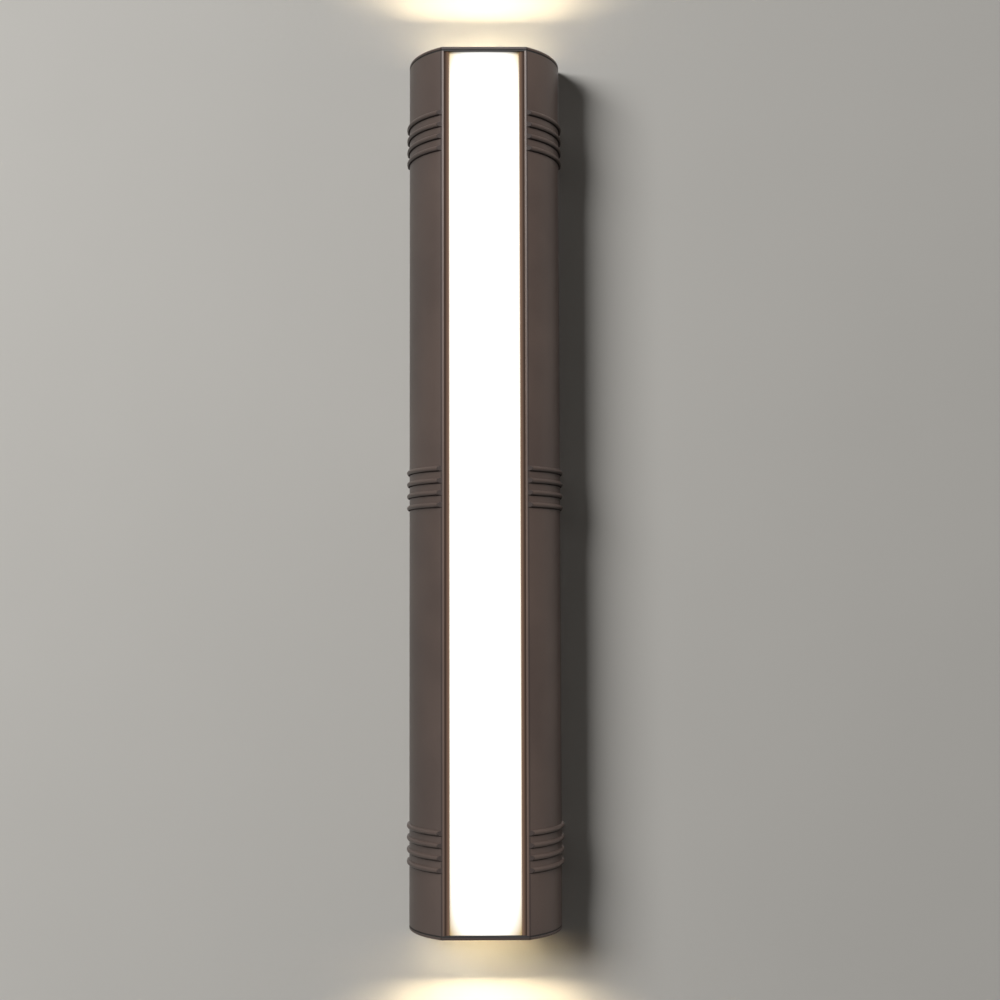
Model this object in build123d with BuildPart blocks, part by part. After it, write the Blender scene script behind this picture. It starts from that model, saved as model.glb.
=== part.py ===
from build123d import *
from math import asin, degrees, sqrt
import os

os.makedirs("parts", exist_ok=True)

# Tube wall light, lit at the front, the top and the bottom.
# Millimetres, +Z up, +Y into the wall, and the flat lit front faces -Y.
# The origin is the centre of the wall bracket's wall face.

# ---- Housing: a tube cut flat at the front and open at the wall ----
HEIGHT = 600.0  # over both end caps
TUBE_R = 52.5  # outside radius of the round flanks
FRONT_HALF_W = 28.79  # half width of the flat front
SKIRT = 4.0  # straight run of the flanks behind the tube's axis
WALL = 2.5  # thickness of the flanks
REAR_FLANGE_W = 7.5  # inward flange along the wall, measured from the outside
REAR_FLANGE_T = 2.0
WALL_SEAL_T = 1.0  # foam strip between the rear flange and the wall
WALL_SEAL_MARGIN = 0.5  # strip set in from both edges of the flange
WALL_SEAL_END_GAP = 4.0  # strip stops short of the end caps

# ---- Front channel: lip, step, bevel and the slot that holds the diffuser ----
LIP_W = 1.6  # flat rim beside each front corner
STEP_DEPTH = 1.0  # drop from the lip
OPENING_HALF_W = 24.0  # half width of the lit opening
BEVEL_DROP = 1.2  # fall of the bevel from the step to the opening
TIP_T = 0.8  # flange thickness at the opening's edge
FRAME_WALL = 1.6  # side wall of the diffuser slot
RAIL_T = 1.5  # rail behind the diffuser
RAIL_SETBACK = 0.8  # rail edge hidden behind the opening's edge

# ---- Diffuser and its seals ----
DIFFUSER_TONGUE_T = 3.0
DIFFUSER_TONGUE_W = 2.6  # tongue reaches this far behind the opening's edge
DIFFUSER_RISE = 1.4  # middle stands this far in front of the tongues
DIFFUSER_CLEARANCE = 0.3  # each side of the raised middle
DIFFUSER_EDGE_R = 0.5
SEAL_T = 0.8  # leg and web of the U-shaped silicone strip

# ---- Beads round the flanks, in three groups ----
BEAD_RISE = 1.75  # bead stands this far out of the flank
BEAD_SIDES = 6  # flats of the bead's section, half of them sunk into the flank
BEAD_PITCH = 8.15
BEADS_PER_GROUP = 4
BEAD_GROUP_INSET = 57.5  # middle of an outer group to the light's end
BEAD_SETBACK = 0.2  # bead's flat end behind the flat front

# ---- Screw ports inside the housing ----
PORT_R = 3.5
PORT_BORE_R = 1.5
PORT_INSET = 5.6  # port's centre to the outside of the flank
PORT_FRONT_DROP = 10.9  # front ports behind the flat front
PORT_REAR_RISE = 1.3  # rear ports in front of the tube's axis

# ---- End caps ----
CAP_T = 1.6
CAP_CHAMFER = 0.4
GASKET_T = 1.2
GASKET_INSET = 0.4  # gasket edge behind the housing's outline, seen as a dark line
GASKET_W = 4.0
CAP_HOLE_R = 1.8
COUNTERBORE_R = 3.1
COUNTERBORE_DEPTH = 0.9
WINDOW_SHARE = 2 / 3  # window's width against the housing's
WINDOW_CORNER_SHARE = 0.3  # window's corner radius against its depth
LENS_LAP = 1.5  # lens reaches under the cap on each side
LENS_T = 3.0
LENS_CLEARANCE = 0.2
POCKET_RIM_T = 1.0
POCKET_CLEARANCE = 0.2  # pocket of the lens to the web and to the bracket's tab

# ---- Light module behind each window ----
REFLECTOR_H = 26.0
REFLECTOR_T = 1.0
REFLECTOR_FLANGE_T = 1.2
REFLECTOR_SPREAD_X = 11.0  # widening on each side from the board to the window
REFLECTOR_SPREAD_Y = 3.0
MODULE_BOARD_T = 1.6
MODULE_BOARD_D = 15.0
MODULE_BOARD_END = 7.0  # board beyond the reflector's base at each end
MODULE_CHIP_PITCH = 7.0
MODULE_CHIP_W = 3.0
HEAT_PLATE_T = 3.0
HEAT_PLATE_END = 1.0  # plate beyond each end of the board
HEAT_PLATE_REAR = 1.8  # plate behind the board
HEAT_LEG_W = 52.0
HEAT_LEG_H = 27.0
HEAT_LEG_SCREW_X = 16.0
HEAT_LEG_SCREW_DROP = 18.0  # below the plate's top

# ---- Web across the housing, and the light tray in front of it ----
CHAMBER_D = 5.8  # lit chamber from the diffuser's rails back to the tray
WEB_T = 1.6
TRAY_T = 1.2
TRAY_EDGE_GAP = 2.7  # tray's edge to the inside of the flank
TRAY_WALL_SETBACK = 1.0  # tray wall outside the opening's edge
TRAY_SCREW_EDGE_GAP = 4.0  # screw's axis to the tray's edge
TRAY_SCREW_INSET = 110.0  # screw's axis to the light's end
FRONT_BOARD_W = 28.0
FRONT_BOARD_T = 1.2
FRONT_BOARD_GAP = 2.0  # between the two boards, and twice the gap at the ends
CHIP_W = 2.8
CHIP_H = 3.5
CHIP_T = 0.8
CHIP_ROW_GAP = 14.0
CHIP_PITCH = 24.5

# ---- Driver, terminal block and cord clamp on the back of the web ----
DRIVER_L = 180.0
DRIVER_W = 38.0
DRIVER_T = 20.0
DRIVER_Z = 40.0  # middle of the driver
DRIVER_CHAMFER = 2.0
DRIVER_EAR_L = 10.0
DRIVER_EAR_W = 20.0
DRIVER_EAR_T = 3.0
TERMINAL_W = 30.0
TERMINAL_H = 18.0
TERMINAL_T = 15.0
TERMINAL_Z = -139.0
POLE_PITCH = 9.0
WIRE_HOLE_R = 1.4
WIRE_HOLE_DEPTH = 7.0
POLE_WELL_R = 2.2
POLE_WELL_DEPTH = 7.0
POLE_WELL_Z = 5.0  # wells above and below the block's middle
POLE_SCREW_R = 1.9
POLE_SCREW_L = 4.5
WIRE_HOLE_RISE = 7.8  # wire holes behind the web
CLAMP_Z = -172.0
CLAMP_W = 10.0
CLAMP_HALF_L = 15.0
CLAMP_FOOT_T = 2.0
CLAMP_SCREW_X = 11.5
CORD_SPACE_R = 5.0  # room for an 8 mm supply cord
CLAMP_ARCH_T = 2.0

# ---- Wall bracket ----
BRACKET_T = 1.5
BRACKET_W = 56.0
BRACKET_END_GAP = 0.3  # end tab to the cap it carries
TAB_HALF_W = 12.0
TAB_D = 8.4
LOCK_Y = -4.9
LOCK_THREAD_R = 1.6
WALL_HOLE_R = 2.6
WALL_HOLE_SPACING = 450.0
BRACKET_SLOT_L = 110.0
BRACKET_SLOT_W = 22.0
BRACKET_SLOT_Z = 85.0
CORD_HOLE_R = 8.0
CORD_HOLE_Z = -196.0
GROMMET_FIT = 0.1
GROMMET_SIDES = 10
GROMMET_FLANGE_R = 10.5
GROMMET_FLANGE_T = 2.5
GROMMET_BORE_R = 4.0
EARTH_X = 18.0
EARTH_Z = -174.0
EARTH_TAG_T = 0.8  # tag of the earth lead, under the screw's head
EARTH_TAG_R = 3.6
EARTH_BARREL_R = 2.2
EARTH_BARREL_L = 8.0
EARTH_BARREL_RISE = 5.0  # from the screw's axis to the barrel

# ---- Leads ----
LEAD_SIDES = 6  # flats of a lead's round section
SUPPLY_LEAD_R = 3.0
LIGHT_LEAD_R = 1.5
EARTH_LEAD_R = 1.6
LEAD_RISE = 9.2  # leads leave the driver this far behind the web
INPUT_LEAD_X = 5.0  # to the right at the terminal block, to the left at the driver
INPUT_LEAD_STEP_Y = 2.0
INPUT_LEAD_RUN = 25.0  # straight run at both ends
INPUT_LEAD_BEND_R = 15.0
MODULE_LEAD_EDGE_GAP = 3.0  # lead's axis to the end of the board it passes through
MODULE_LEAD_BEND_R = 40.0
UPPER_LEAD_X = -3.0
UPPER_LEAD_START_RUN = 35.0
UPPER_LEAD_END_RUN = 45.0
LOWER_LEAD_X = -14.0
LOWER_LEAD_START_RUN = 15.0
LOWER_LEAD_SLOPE_RUN = 40.0
LEAD_HOLE_CLEARANCE = 0.3
FRONT_LEAD_X = 10.0
FRONT_LEAD_RUN = 30.0  # from the driver up to the grommet
FRONT_LEAD_BEND_R = 7.0
EARTH_LEAD_RUN = 5.0  # straight run at both ends
EARTH_LEAD_BEND_R = 3.8
TRAY_GROMMET_R = 4.2
TRAY_GROMMET_T = 1.6

# ---- Screws: head radius, head height, shank radius, shank length ----
CAP_SCREW = (2.8, 0.8, 1.4, 9.0)
LOCK_SCREW = (2.8, 0.8, 1.5, 5.5)
TRAY_SCREW = (2.6, 1.6, 1.2, WEB_T + TRAY_T)
DRIVER_SCREW = (2.9, 1.8, 1.3, DRIVER_EAR_T + WEB_T)
MODULE_SCREW = (2.9, 1.8, 1.3, HEAT_PLATE_T + WEB_T)
CLAMP_SCREW = (2.5, 1.6, 1.2, CLAMP_FOOT_T + WEB_T)
EARTH_SCREW = (3.2, 2.2, 1.8, BRACKET_T + EARTH_TAG_T)
SCREW_HOLE_CLEARANCE = 0.1
ROUND_SIDES = 8  # flats of the small rounds that repeat: screws, their holes and ports
SOCKET_SHARE = 0.55  # hexagon socket against the head's radius
SOCKET_DEPTH_SHARE = 0.6  # socket against the head's height

# ---- Places worked out from the sizes above ----
REAR_Y = -WALL_SEAL_T
AXIS_Y = REAR_Y - SKIRT
FRONT_REACH = sqrt(TUBE_R**2 - FRONT_HALF_W**2)
FRONT_Y = AXIS_Y - FRONT_REACH
INNER_R = TUBE_R - WALL
LIP_IN_X = FRONT_HALF_W - LIP_W
STEP_Y = FRONT_Y + STEP_DEPTH
TIP_Y = STEP_Y + BEVEL_DROP
SLOT_FRONT_Y = TIP_Y + TIP_T
SLOT_BACK_Y = SLOT_FRONT_Y + DIFFUSER_TONGUE_T + 2 * SEAL_T
CHAMBER_Y = SLOT_BACK_Y + RAIL_T
TONGUE_X = OPENING_HALF_W + DIFFUSER_TONGUE_W
SLOT_X = TONGUE_X + SEAL_T
RAIL_TIP_X = OPENING_HALF_W + RAIL_SETBACK
DIFFUSER_FRONT_Y = SLOT_FRONT_Y + SEAL_T
CAP_IN_Z = HEIGHT / 2 - CAP_T
BODY_TOP_Z = CAP_IN_Z - GASKET_T
LENS_BOTTOM_Z = BODY_TOP_Z - LENS_T
BOARD_TOP_Z = LENS_BOTTOM_Z - REFLECTOR_H
PLATE_TOP_Z = BOARD_TOP_Z - MODULE_BOARD_T
TRAY_FRONT_Y = CHAMBER_Y + CHAMBER_D
WEB_FRONT_Y = TRAY_FRONT_Y + TRAY_T
WEB_BACK_Y = WEB_FRONT_Y + WEB_T
TRAY_HALF_W = sqrt(INNER_R**2 - (AXIS_Y - TRAY_FRONT_Y) ** 2) - TRAY_EDGE_GAP
TRAY_SCREW_X = TRAY_HALF_W - TRAY_SCREW_EDGE_GAP
TRAY_SCREW_Z = HEIGHT / 2 - TRAY_SCREW_INSET
FRONT_BOARD_Y = TRAY_FRONT_Y - FRONT_BOARD_T
FRONT_BOARD_L = BODY_TOP_Z - FRONT_BOARD_GAP
CHIPS_PER_ROW = int(FRONT_BOARD_L // CHIP_PITCH)
POCKET_FRONT_Y = WEB_BACK_Y + POCKET_CLEARANCE
POCKET_REAR_Y = -TAB_D - POCKET_CLEARANCE
WINDOW_Y = (POCKET_FRONT_Y + POCKET_REAR_Y) / 2
LENS_D = POCKET_REAR_Y - POCKET_FRONT_Y - 2 * (POCKET_RIM_T + LENS_CLEARANCE)
WINDOW_D = LENS_D - 2 * LENS_LAP
WINDOW_W = WINDOW_SHARE * 2 * TUBE_R
LENS_W = WINDOW_W + 2 * LENS_LAP
REFLECTOR_BASE_W = WINDOW_W - 2 * REFLECTOR_SPREAD_X
REFLECTOR_BASE_D = WINDOW_D - 2 * REFLECTOR_SPREAD_Y
MODULE_CHIP_COUNT = int(REFLECTOR_BASE_W // MODULE_CHIP_PITCH)
MODULE_BOARD_W = REFLECTOR_BASE_W + 2 * MODULE_BOARD_END
MODULE_LEAD_X = MODULE_LEAD_EDGE_GAP - MODULE_BOARD_W / 2
HEAT_PLATE_W = MODULE_BOARD_W + 2 * HEAT_PLATE_END
HEAT_PLATE_BACK_Y = WINDOW_Y + MODULE_BOARD_D / 2 + HEAT_PLATE_REAR
DRIVER_BOTTOM_Z = DRIVER_Z - DRIVER_L / 2
DRIVER_TOP_Z = DRIVER_Z + DRIVER_L / 2
LEAD_Y = WEB_BACK_Y + LEAD_RISE
FRONT_LEAD_Z = DRIVER_TOP_Z + FRONT_LEAD_RUN
TERMINAL_TOP_Z = TERMINAL_Z + TERMINAL_H / 2
TERMINAL_BOTTOM_Z = TERMINAL_Z - TERMINAL_H / 2
TAB_Z = CAP_IN_Z - BRACKET_END_GAP
PORT_YS = (FRONT_Y + PORT_FRONT_DROP, AXIS_Y - PORT_REAR_RISE)
PORTS = [
    (side * sqrt((TUBE_R - PORT_INSET) ** 2 - (AXIS_Y - y) ** 2), y)
    for y in PORT_YS
    for side in (1, -1)
]
POLES = [(i * POLE_PITCH, z) for i in (-1, 0, 1) for z in (-POLE_WELL_Z, POLE_WELL_Z)]


def write(piece, name):
    """Label a finished piece and write it as one STEP file."""
    piece.part.label = name
    export_step(piece.part, f"parts/{name}.step")


def write_twins(piece, upper_name, lower_name):
    """Write a piece of the upper end, and its mirror image at the lower end."""
    write(piece, upper_name)
    with BuildPart() as twin:
        mirror(piece.part, about=Plane.XY)
    write(twin, lower_name)


def at_depth(y):
    """Upright plane at this Y: local x is X, local y is Z, and its normal is -Y."""
    return Plane.XZ.offset(-y)


def span(x0, y0, x1, y1, mode=Mode.ADD):
    """Rectangle between two corners of the current sketch."""
    with Locations(((x0 + x1) / 2, (y0 + y1) / 2)):
        Rectangle(abs(x1 - x0), abs(y1 - y0), mode=mode)


def both_sides(x0, y0, x1, y1, mode=Mode.ADD):
    """The same rectangle on the right and, mirrored, on the left."""
    span(x0, y0, x1, y1, mode)
    span(-x1, y0, -x0, y1, mode)


def half_round(radius, front_y, rear_y, mode=Mode.ADD):
    """Face within a flat front, two arcs about the tube's axis and straight skirts."""
    corner_angle = degrees(asin((AXIS_Y - front_y) / radius))
    with BuildLine() as outline:
        right = CenterArc((0, AXIS_Y), radius, -corner_angle, corner_angle)
        left = CenterArc((0, AXIS_Y), radius, 180, corner_angle)
        Polyline(right @ 1, (radius, rear_y), (-radius, rear_y), left @ 0)
        Line(left @ 1, right @ 0)
    make_face(outline.edges(), mode=mode)


def mirrored_outline(half, mode=Mode.ADD):
    """Face from the right half of a symmetrical outline, listed front to back."""
    other_half = [(-x, y) for x, y in reversed(half)]
    with BuildLine() as outline:
        Polyline(*half, *other_half, close=True)
    make_face(outline.edges(), mode=mode)


def flare(base_w, base_d, mouth_w, mouth_d):
    """Solid with four flat sloping sides, from the module's board up to its window."""
    with BuildPart() as piece:
        with BuildSketch(Plane.XZ):
            with BuildLine() as front_outline:
                Polyline(
                    (-base_w / 2, BOARD_TOP_Z),
                    (base_w / 2, BOARD_TOP_Z),
                    (mouth_w / 2, LENS_BOTTOM_Z),
                    (-mouth_w / 2, LENS_BOTTOM_Z),
                    close=True,
                )
            make_face(front_outline.edges())
        extrude(amount=TUBE_R, both=True)
        with BuildSketch(Plane.YZ) as side:
            with BuildLine() as side_outline:
                Polyline(
                    (WINDOW_Y - base_d / 2, BOARD_TOP_Z),
                    (WINDOW_Y + base_d / 2, BOARD_TOP_Z),
                    (WINDOW_Y + mouth_d / 2, LENS_BOTTOM_Z),
                    (WINDOW_Y - mouth_d / 2, LENS_BOTTOM_Z),
                    close=True,
                )
            make_face(side_outline.edges())
        extrude(side.sketch, amount=TUBE_R, both=True, mode=Mode.INTERSECT)
    return piece.part


def small_round(radius, mode=Mode.ADD):
    """Small round outline in a few flats."""
    RegularPolygon(radius, ROUND_SIDES, rotation=180 / ROUND_SIDES, mode=mode)


def screws(seat, points, size, facing=1):
    """Screws on a seat plane, heads on the side of its normal or, with -1, behind it."""
    head_r, head_h, shank_r, shank_l = size
    with BuildSketch(seat) as heads:
        with Locations(*points):
            small_round(head_r)
    extrude(heads.sketch, amount=facing * head_h)
    with BuildSketch(seat) as shanks:
        with Locations(*points):
            small_round(shank_r)
    extrude(shanks.sketch, amount=-facing * shank_l)


def cut_sockets(seat, points, size):
    """Hexagon sockets in the heads of screws that stand on a seat plane."""
    head_r, head_h = size[:2]
    with BuildSketch(seat.offset(head_h)) as sockets:
        with Locations(*points):
            RegularPolygon(head_r * SOCKET_SHARE, 6)
    extrude(sockets.sketch, amount=-head_h * SOCKET_DEPTH_SHARE, mode=Mode.SUBTRACT)


def drill(seat, points, radius, depth):
    """Small round holes from a plane to both sides, this deep each way."""
    with BuildSketch(seat) as holes:
        with Locations(*points):
            small_round(radius)
    extrude(holes.sketch, amount=depth, both=True, mode=Mode.SUBTRACT)


def lead(points, bend_radii, radius):
    """Round lead along straight runs joined by tangent arcs."""
    with BuildPart() as piece:
        with BuildLine():
            route = FilletPolyline(*points, radius=bend_radii)
        with BuildSketch(Plane(route @ 0, z_dir=route % 0)):
            RegularPolygon(radius, LEAD_SIDES)
        sweep()
    return piece


# ---- Beads: one rib round each flank, from the front corner back to the wall ----
bead_arc = degrees(asin(FRONT_REACH / TUBE_R))
bead_group_z = HEIGHT / 2 - BEAD_GROUP_INSET
bead_zs = [
    group * bead_group_z + (i - (BEADS_PER_GROUP - 1) / 2) * BEAD_PITCH
    for group in (-1, 0, 1)
    for i in range(BEADS_PER_GROUP)
]

with BuildPart() as bead_ring:
    with BuildSketch(at_depth(AXIS_Y)) as bead_section:
        with Locations((TUBE_R, 0)):
            RegularPolygon(
                BEAD_RISE, BEAD_SIDES, major_radius=False, rotation=180 / BEAD_SIDES
            )
    extrude(amount=-SKIRT)
    revolve(
        bead_section.sketch,
        axis=Axis((0, AXIS_Y, 0), (0, 0, -1)),
        revolution_arc=bead_arc,
    )
    split(bisect_by=at_depth(FRONT_Y + BEAD_SETBACK), keep=Keep.BOTTOM)
    mirror(about=Plane.YZ)

# ---- Screw places on the web ----
tray_screw_points = [
    (side * TRAY_SCREW_X, end * TRAY_SCREW_Z) for side in (-1, 1) for end in (-1, 1)
]
driver_screw_points = [
    (0, DRIVER_BOTTOM_Z - DRIVER_EAR_L / 2),
    (0, DRIVER_TOP_Z + DRIVER_EAR_L / 2),
]
clamp_screw_points = [(side * CLAMP_SCREW_X, CLAMP_Z) for side in (-1, 1)]
module_screw_z = PLATE_TOP_Z - HEAT_LEG_SCREW_DROP
upper_screw_points = [(side * HEAT_LEG_SCREW_X, module_screw_z) for side in (-1, 1)]
lower_screw_points = [(x, -z) for x, z in upper_screw_points]
web_holes = (
    (TRAY_SCREW, tray_screw_points),
    (DRIVER_SCREW, driver_screw_points),
    (CLAMP_SCREW, clamp_screw_points),
    (MODULE_SCREW, upper_screw_points + lower_screw_points),
)

# ---- Housing ----
web_end_x = sqrt((TUBE_R - WALL / 2) ** 2 - (AXIS_Y - WEB_FRONT_Y) ** 2)
rear_opening_x = TUBE_R - REAR_FLANGE_W
tray_grommet_hole_r = TRAY_GROMMET_R - TRAY_GROMMET_T

with BuildPart() as body_shell:
    with BuildSketch(Plane.XY.offset(-BODY_TOP_Z)):
        half_round(TUBE_R, FRONT_Y, REAR_Y)
        half_round(INNER_R, SLOT_FRONT_Y, REAR_Y - REAR_FLANGE_T, Mode.SUBTRACT)
        span(-SLOT_X - FRAME_WALL, SLOT_FRONT_Y, SLOT_X + FRAME_WALL, CHAMBER_Y)
        mirrored_outline(
            [
                (LIP_IN_X, FRONT_Y),
                (LIP_IN_X, STEP_Y),
                (OPENING_HALF_W, TIP_Y),
                (OPENING_HALF_W, SLOT_FRONT_Y),
                (SLOT_X, SLOT_FRONT_Y),
                (SLOT_X, SLOT_BACK_Y),
                (RAIL_TIP_X, SLOT_BACK_Y),
                (RAIL_TIP_X, CHAMBER_Y),
            ],
            Mode.SUBTRACT,
        )
        span(-web_end_x, WEB_FRONT_Y, web_end_x, WEB_BACK_Y)
        span(-rear_opening_x, REAR_Y - REAR_FLANGE_T, rear_opening_x, REAR_Y, Mode.SUBTRACT)
        with Locations(*PORTS):
            small_round(PORT_R)
            small_round(PORT_BORE_R, Mode.SUBTRACT)
    extrude(amount=2 * BODY_TOP_Z)
    with Locations(*[(0, 0, z) for z in bead_zs]):
        add(bead_ring.part)
    for size, points in web_holes:
        drill(at_depth(WEB_BACK_Y), points, size[2] + SCREW_HOLE_CLEARANCE, WEB_T)
    drill(at_depth(WEB_BACK_Y), [(FRONT_LEAD_X, FRONT_LEAD_Z)], tray_grommet_hole_r, WEB_T)
write(body_shell, "body_shell")

with BuildPart() as wall_seals:
    with BuildSketch(Plane.XY.offset(WALL_SEAL_END_GAP - BODY_TOP_Z)):
        both_sides(
            TUBE_R - REAR_FLANGE_W + WALL_SEAL_MARGIN, REAR_Y, TUBE_R - WALL_SEAL_MARGIN, 0
        )
    extrude(amount=2 * (BODY_TOP_Z - WALL_SEAL_END_GAP))
write(wall_seals, "wall_seals")

# ---- Front diffuser in its slots ----
with BuildPart() as front_diffuser:
    with BuildSketch(Plane.XY.offset(-BODY_TOP_Z)):
        span(-TONGUE_X, DIFFUSER_FRONT_Y, TONGUE_X, DIFFUSER_FRONT_Y + DIFFUSER_TONGUE_T)
        face_x = OPENING_HALF_W - DIFFUSER_CLEARANCE
        span(-face_x, DIFFUSER_FRONT_Y - DIFFUSER_RISE, face_x, DIFFUSER_FRONT_Y)
    extrude(amount=2 * BODY_TOP_Z)
    front_edges = front_diffuser.faces().sort_by(Axis.Y)[0].edges().filter_by(Axis.Z)
    fillet(front_edges, DIFFUSER_EDGE_R)
write(front_diffuser, "front_diffuser")

with BuildPart() as diffuser_seals:
    with BuildSketch(Plane.XY.offset(-BODY_TOP_Z)):
        both_sides(OPENING_HALF_W, SLOT_FRONT_Y, SLOT_X, SLOT_BACK_Y)
        both_sides(
            OPENING_HALF_W,
            DIFFUSER_FRONT_Y,
            TONGUE_X,
            DIFFUSER_FRONT_Y + DIFFUSER_TONGUE_T,
            Mode.SUBTRACT,
        )
        both_sides(OPENING_HALF_W, SLOT_BACK_Y - SEAL_T, RAIL_TIP_X, SLOT_BACK_Y, Mode.SUBTRACT)
    extrude(amount=2 * BODY_TOP_Z)
write(diffuser_seals, "diffuser_seals")

# ---- End caps with their windows ----
with BuildPart() as top_end_cap:
    with BuildSketch(Plane.XY.offset(CAP_IN_Z)):
        half_round(TUBE_R, FRONT_Y, REAR_Y)
    extrude(amount=CAP_T)
    chamfer(top_end_cap.faces().sort_by(Axis.Z)[-1].edges(), CAP_CHAMFER)
    pocket_w = LENS_W + 2 * LENS_CLEARANCE
    pocket_d = LENS_D + 2 * LENS_CLEARANCE
    with BuildSketch(Plane.XY.offset(LENS_BOTTOM_Z)):
        with Locations((0, WINDOW_Y)):
            Rectangle(pocket_w + 2 * POCKET_RIM_T, pocket_d + 2 * POCKET_RIM_T)
            Rectangle(pocket_w, pocket_d, mode=Mode.SUBTRACT)
    extrude(amount=CAP_IN_Z - LENS_BOTTOM_Z)
    with BuildSketch(Plane.XY.offset(CAP_IN_Z)):
        with Locations((0, WINDOW_Y)):
            RectangleRounded(WINDOW_W, WINDOW_D, WINDOW_CORNER_SHARE * WINDOW_D)
    extrude(amount=CAP_T, mode=Mode.SUBTRACT)
    cap_face = Plane.XY.offset(HEIGHT / 2)
    drill(cap_face, [*PORTS, (0, LOCK_Y)], COUNTERBORE_R, COUNTERBORE_DEPTH)
    drill(cap_face, [*PORTS, (0, LOCK_Y)], CAP_HOLE_R, CAP_T)
write_twins(top_end_cap, "top_end_cap", "bottom_end_cap")

with BuildPart() as top_cap_gasket:
    with BuildSketch(Plane.XY.offset(BODY_TOP_Z)):
        half_round(TUBE_R - GASKET_INSET, FRONT_Y + GASKET_INSET, REAR_Y - GASKET_INSET)
        half_round(TUBE_R - GASKET_W, CHAMBER_Y, REAR_Y - REAR_FLANGE_T, Mode.SUBTRACT)
        span(-rear_opening_x, REAR_Y - REAR_FLANGE_T, rear_opening_x, REAR_Y, Mode.SUBTRACT)
        with Locations(*PORTS):
            small_round(PORT_R)
            small_round(CAP_HOLE_R, Mode.SUBTRACT)
    extrude(amount=GASKET_T)
write_twins(top_cap_gasket, "top_cap_gasket", "bottom_cap_gasket")

with BuildPart() as top_window:
    with BuildSketch(Plane.XY.offset(LENS_BOTTOM_Z)):
        with Locations((0, WINDOW_Y)):
            Rectangle(LENS_W, LENS_D)
    extrude(amount=LENS_T)
write_twins(top_window, "top_window", "bottom_window")

with BuildPart() as top_window_seal:
    with BuildSketch(Plane.XY.offset(BODY_TOP_Z)):
        with Locations((0, WINDOW_Y)):
            Rectangle(LENS_W, LENS_D)
            Rectangle(WINDOW_W, WINDOW_D, mode=Mode.SUBTRACT)
    extrude(amount=GASKET_T)
write_twins(top_window_seal, "top_window_seal", "bottom_window_seal")

counterbore_floor = Plane.XY.offset(HEIGHT / 2 - COUNTERBORE_DEPTH)
with BuildPart() as top_cap_screws:
    screws(counterbore_floor, PORTS, CAP_SCREW)
    cut_sockets(counterbore_floor, PORTS, CAP_SCREW)
write_twins(top_cap_screws, "top_cap_screws", "bottom_cap_screws")

with BuildPart() as top_lock_screw:
    screws(counterbore_floor, [(0, LOCK_Y)], LOCK_SCREW)
    cut_sockets(counterbore_floor, [(0, LOCK_Y)], LOCK_SCREW)
write_twins(top_lock_screw, "top_lock_screw", "bottom_lock_screw")

# ---- Light module behind each window ----
with BuildPart() as upper_reflector:
    add(
        flare(
            REFLECTOR_BASE_W + 2 * REFLECTOR_T,
            REFLECTOR_BASE_D + 2 * REFLECTOR_T,
            WINDOW_W + 2 * REFLECTOR_T,
            WINDOW_D + 2 * REFLECTOR_T,
        )
    )
    with BuildSketch(Plane.XY.offset(LENS_BOTTOM_Z)):
        with Locations((0, WINDOW_Y)):
            Rectangle(LENS_W, LENS_D)
    extrude(amount=-REFLECTOR_FLANGE_T)
    inside = flare(REFLECTOR_BASE_W, REFLECTOR_BASE_D, WINDOW_W, WINDOW_D)
    add(inside, mode=Mode.SUBTRACT)
write_twins(upper_reflector, "upper_reflector", "lower_reflector")

module_lead_point = (MODULE_LEAD_X, WINDOW_Y)
module_lead_hole_r = LIGHT_LEAD_R + LEAD_HOLE_CLEARANCE
with BuildPart() as upper_led_board:
    with BuildSketch(Plane.XY.offset(PLATE_TOP_Z)):
        with Locations((0, WINDOW_Y)):
            Rectangle(MODULE_BOARD_W, MODULE_BOARD_D)
        with Locations(module_lead_point):
            small_round(module_lead_hole_r, Mode.SUBTRACT)
    extrude(amount=MODULE_BOARD_T)
write_twins(upper_led_board, "upper_led_board", "lower_led_board")

with BuildPart() as upper_led_chips:
    with BuildSketch(Plane.XY.offset(BOARD_TOP_Z)):
        with Locations((0, WINDOW_Y)):
            with GridLocations(MODULE_CHIP_PITCH, 0, MODULE_CHIP_COUNT, 1):
                Rectangle(MODULE_CHIP_W, MODULE_CHIP_W)
    extrude(amount=CHIP_T)
write_twins(upper_led_chips, "upper_led_chips", "lower_led_chips")

with BuildPart() as upper_heat_bracket:
    with BuildSketch(Plane.XY.offset(PLATE_TOP_Z)):
        span(-HEAT_PLATE_W / 2, WEB_BACK_Y, HEAT_PLATE_W / 2, HEAT_PLATE_BACK_Y)
        with Locations(module_lead_point):
            small_round(module_lead_hole_r, Mode.SUBTRACT)
    extrude(amount=-HEAT_PLATE_T)
    with BuildSketch(at_depth(WEB_BACK_Y)):
        span(-HEAT_LEG_W / 2, PLATE_TOP_Z - HEAT_LEG_H, HEAT_LEG_W / 2, PLATE_TOP_Z)
    extrude(amount=-HEAT_PLATE_T)
    drill(
        at_depth(WEB_BACK_Y),
        upper_screw_points,
        MODULE_SCREW[2] + SCREW_HOLE_CLEARANCE,
        HEAT_PLATE_T,
    )
write_twins(upper_heat_bracket, "upper_heat_bracket", "lower_heat_bracket")

with BuildPart() as upper_module_screws:
    seat = at_depth(WEB_BACK_Y + HEAT_PLATE_T)
    screws(seat, upper_screw_points, MODULE_SCREW, facing=-1)
write_twins(upper_module_screws, "upper_module_screws", "lower_module_screws")

# ---- Light tray, its boards and its screws ----
tray_wall_x = OPENING_HALF_W + TRAY_WALL_SETBACK

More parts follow.
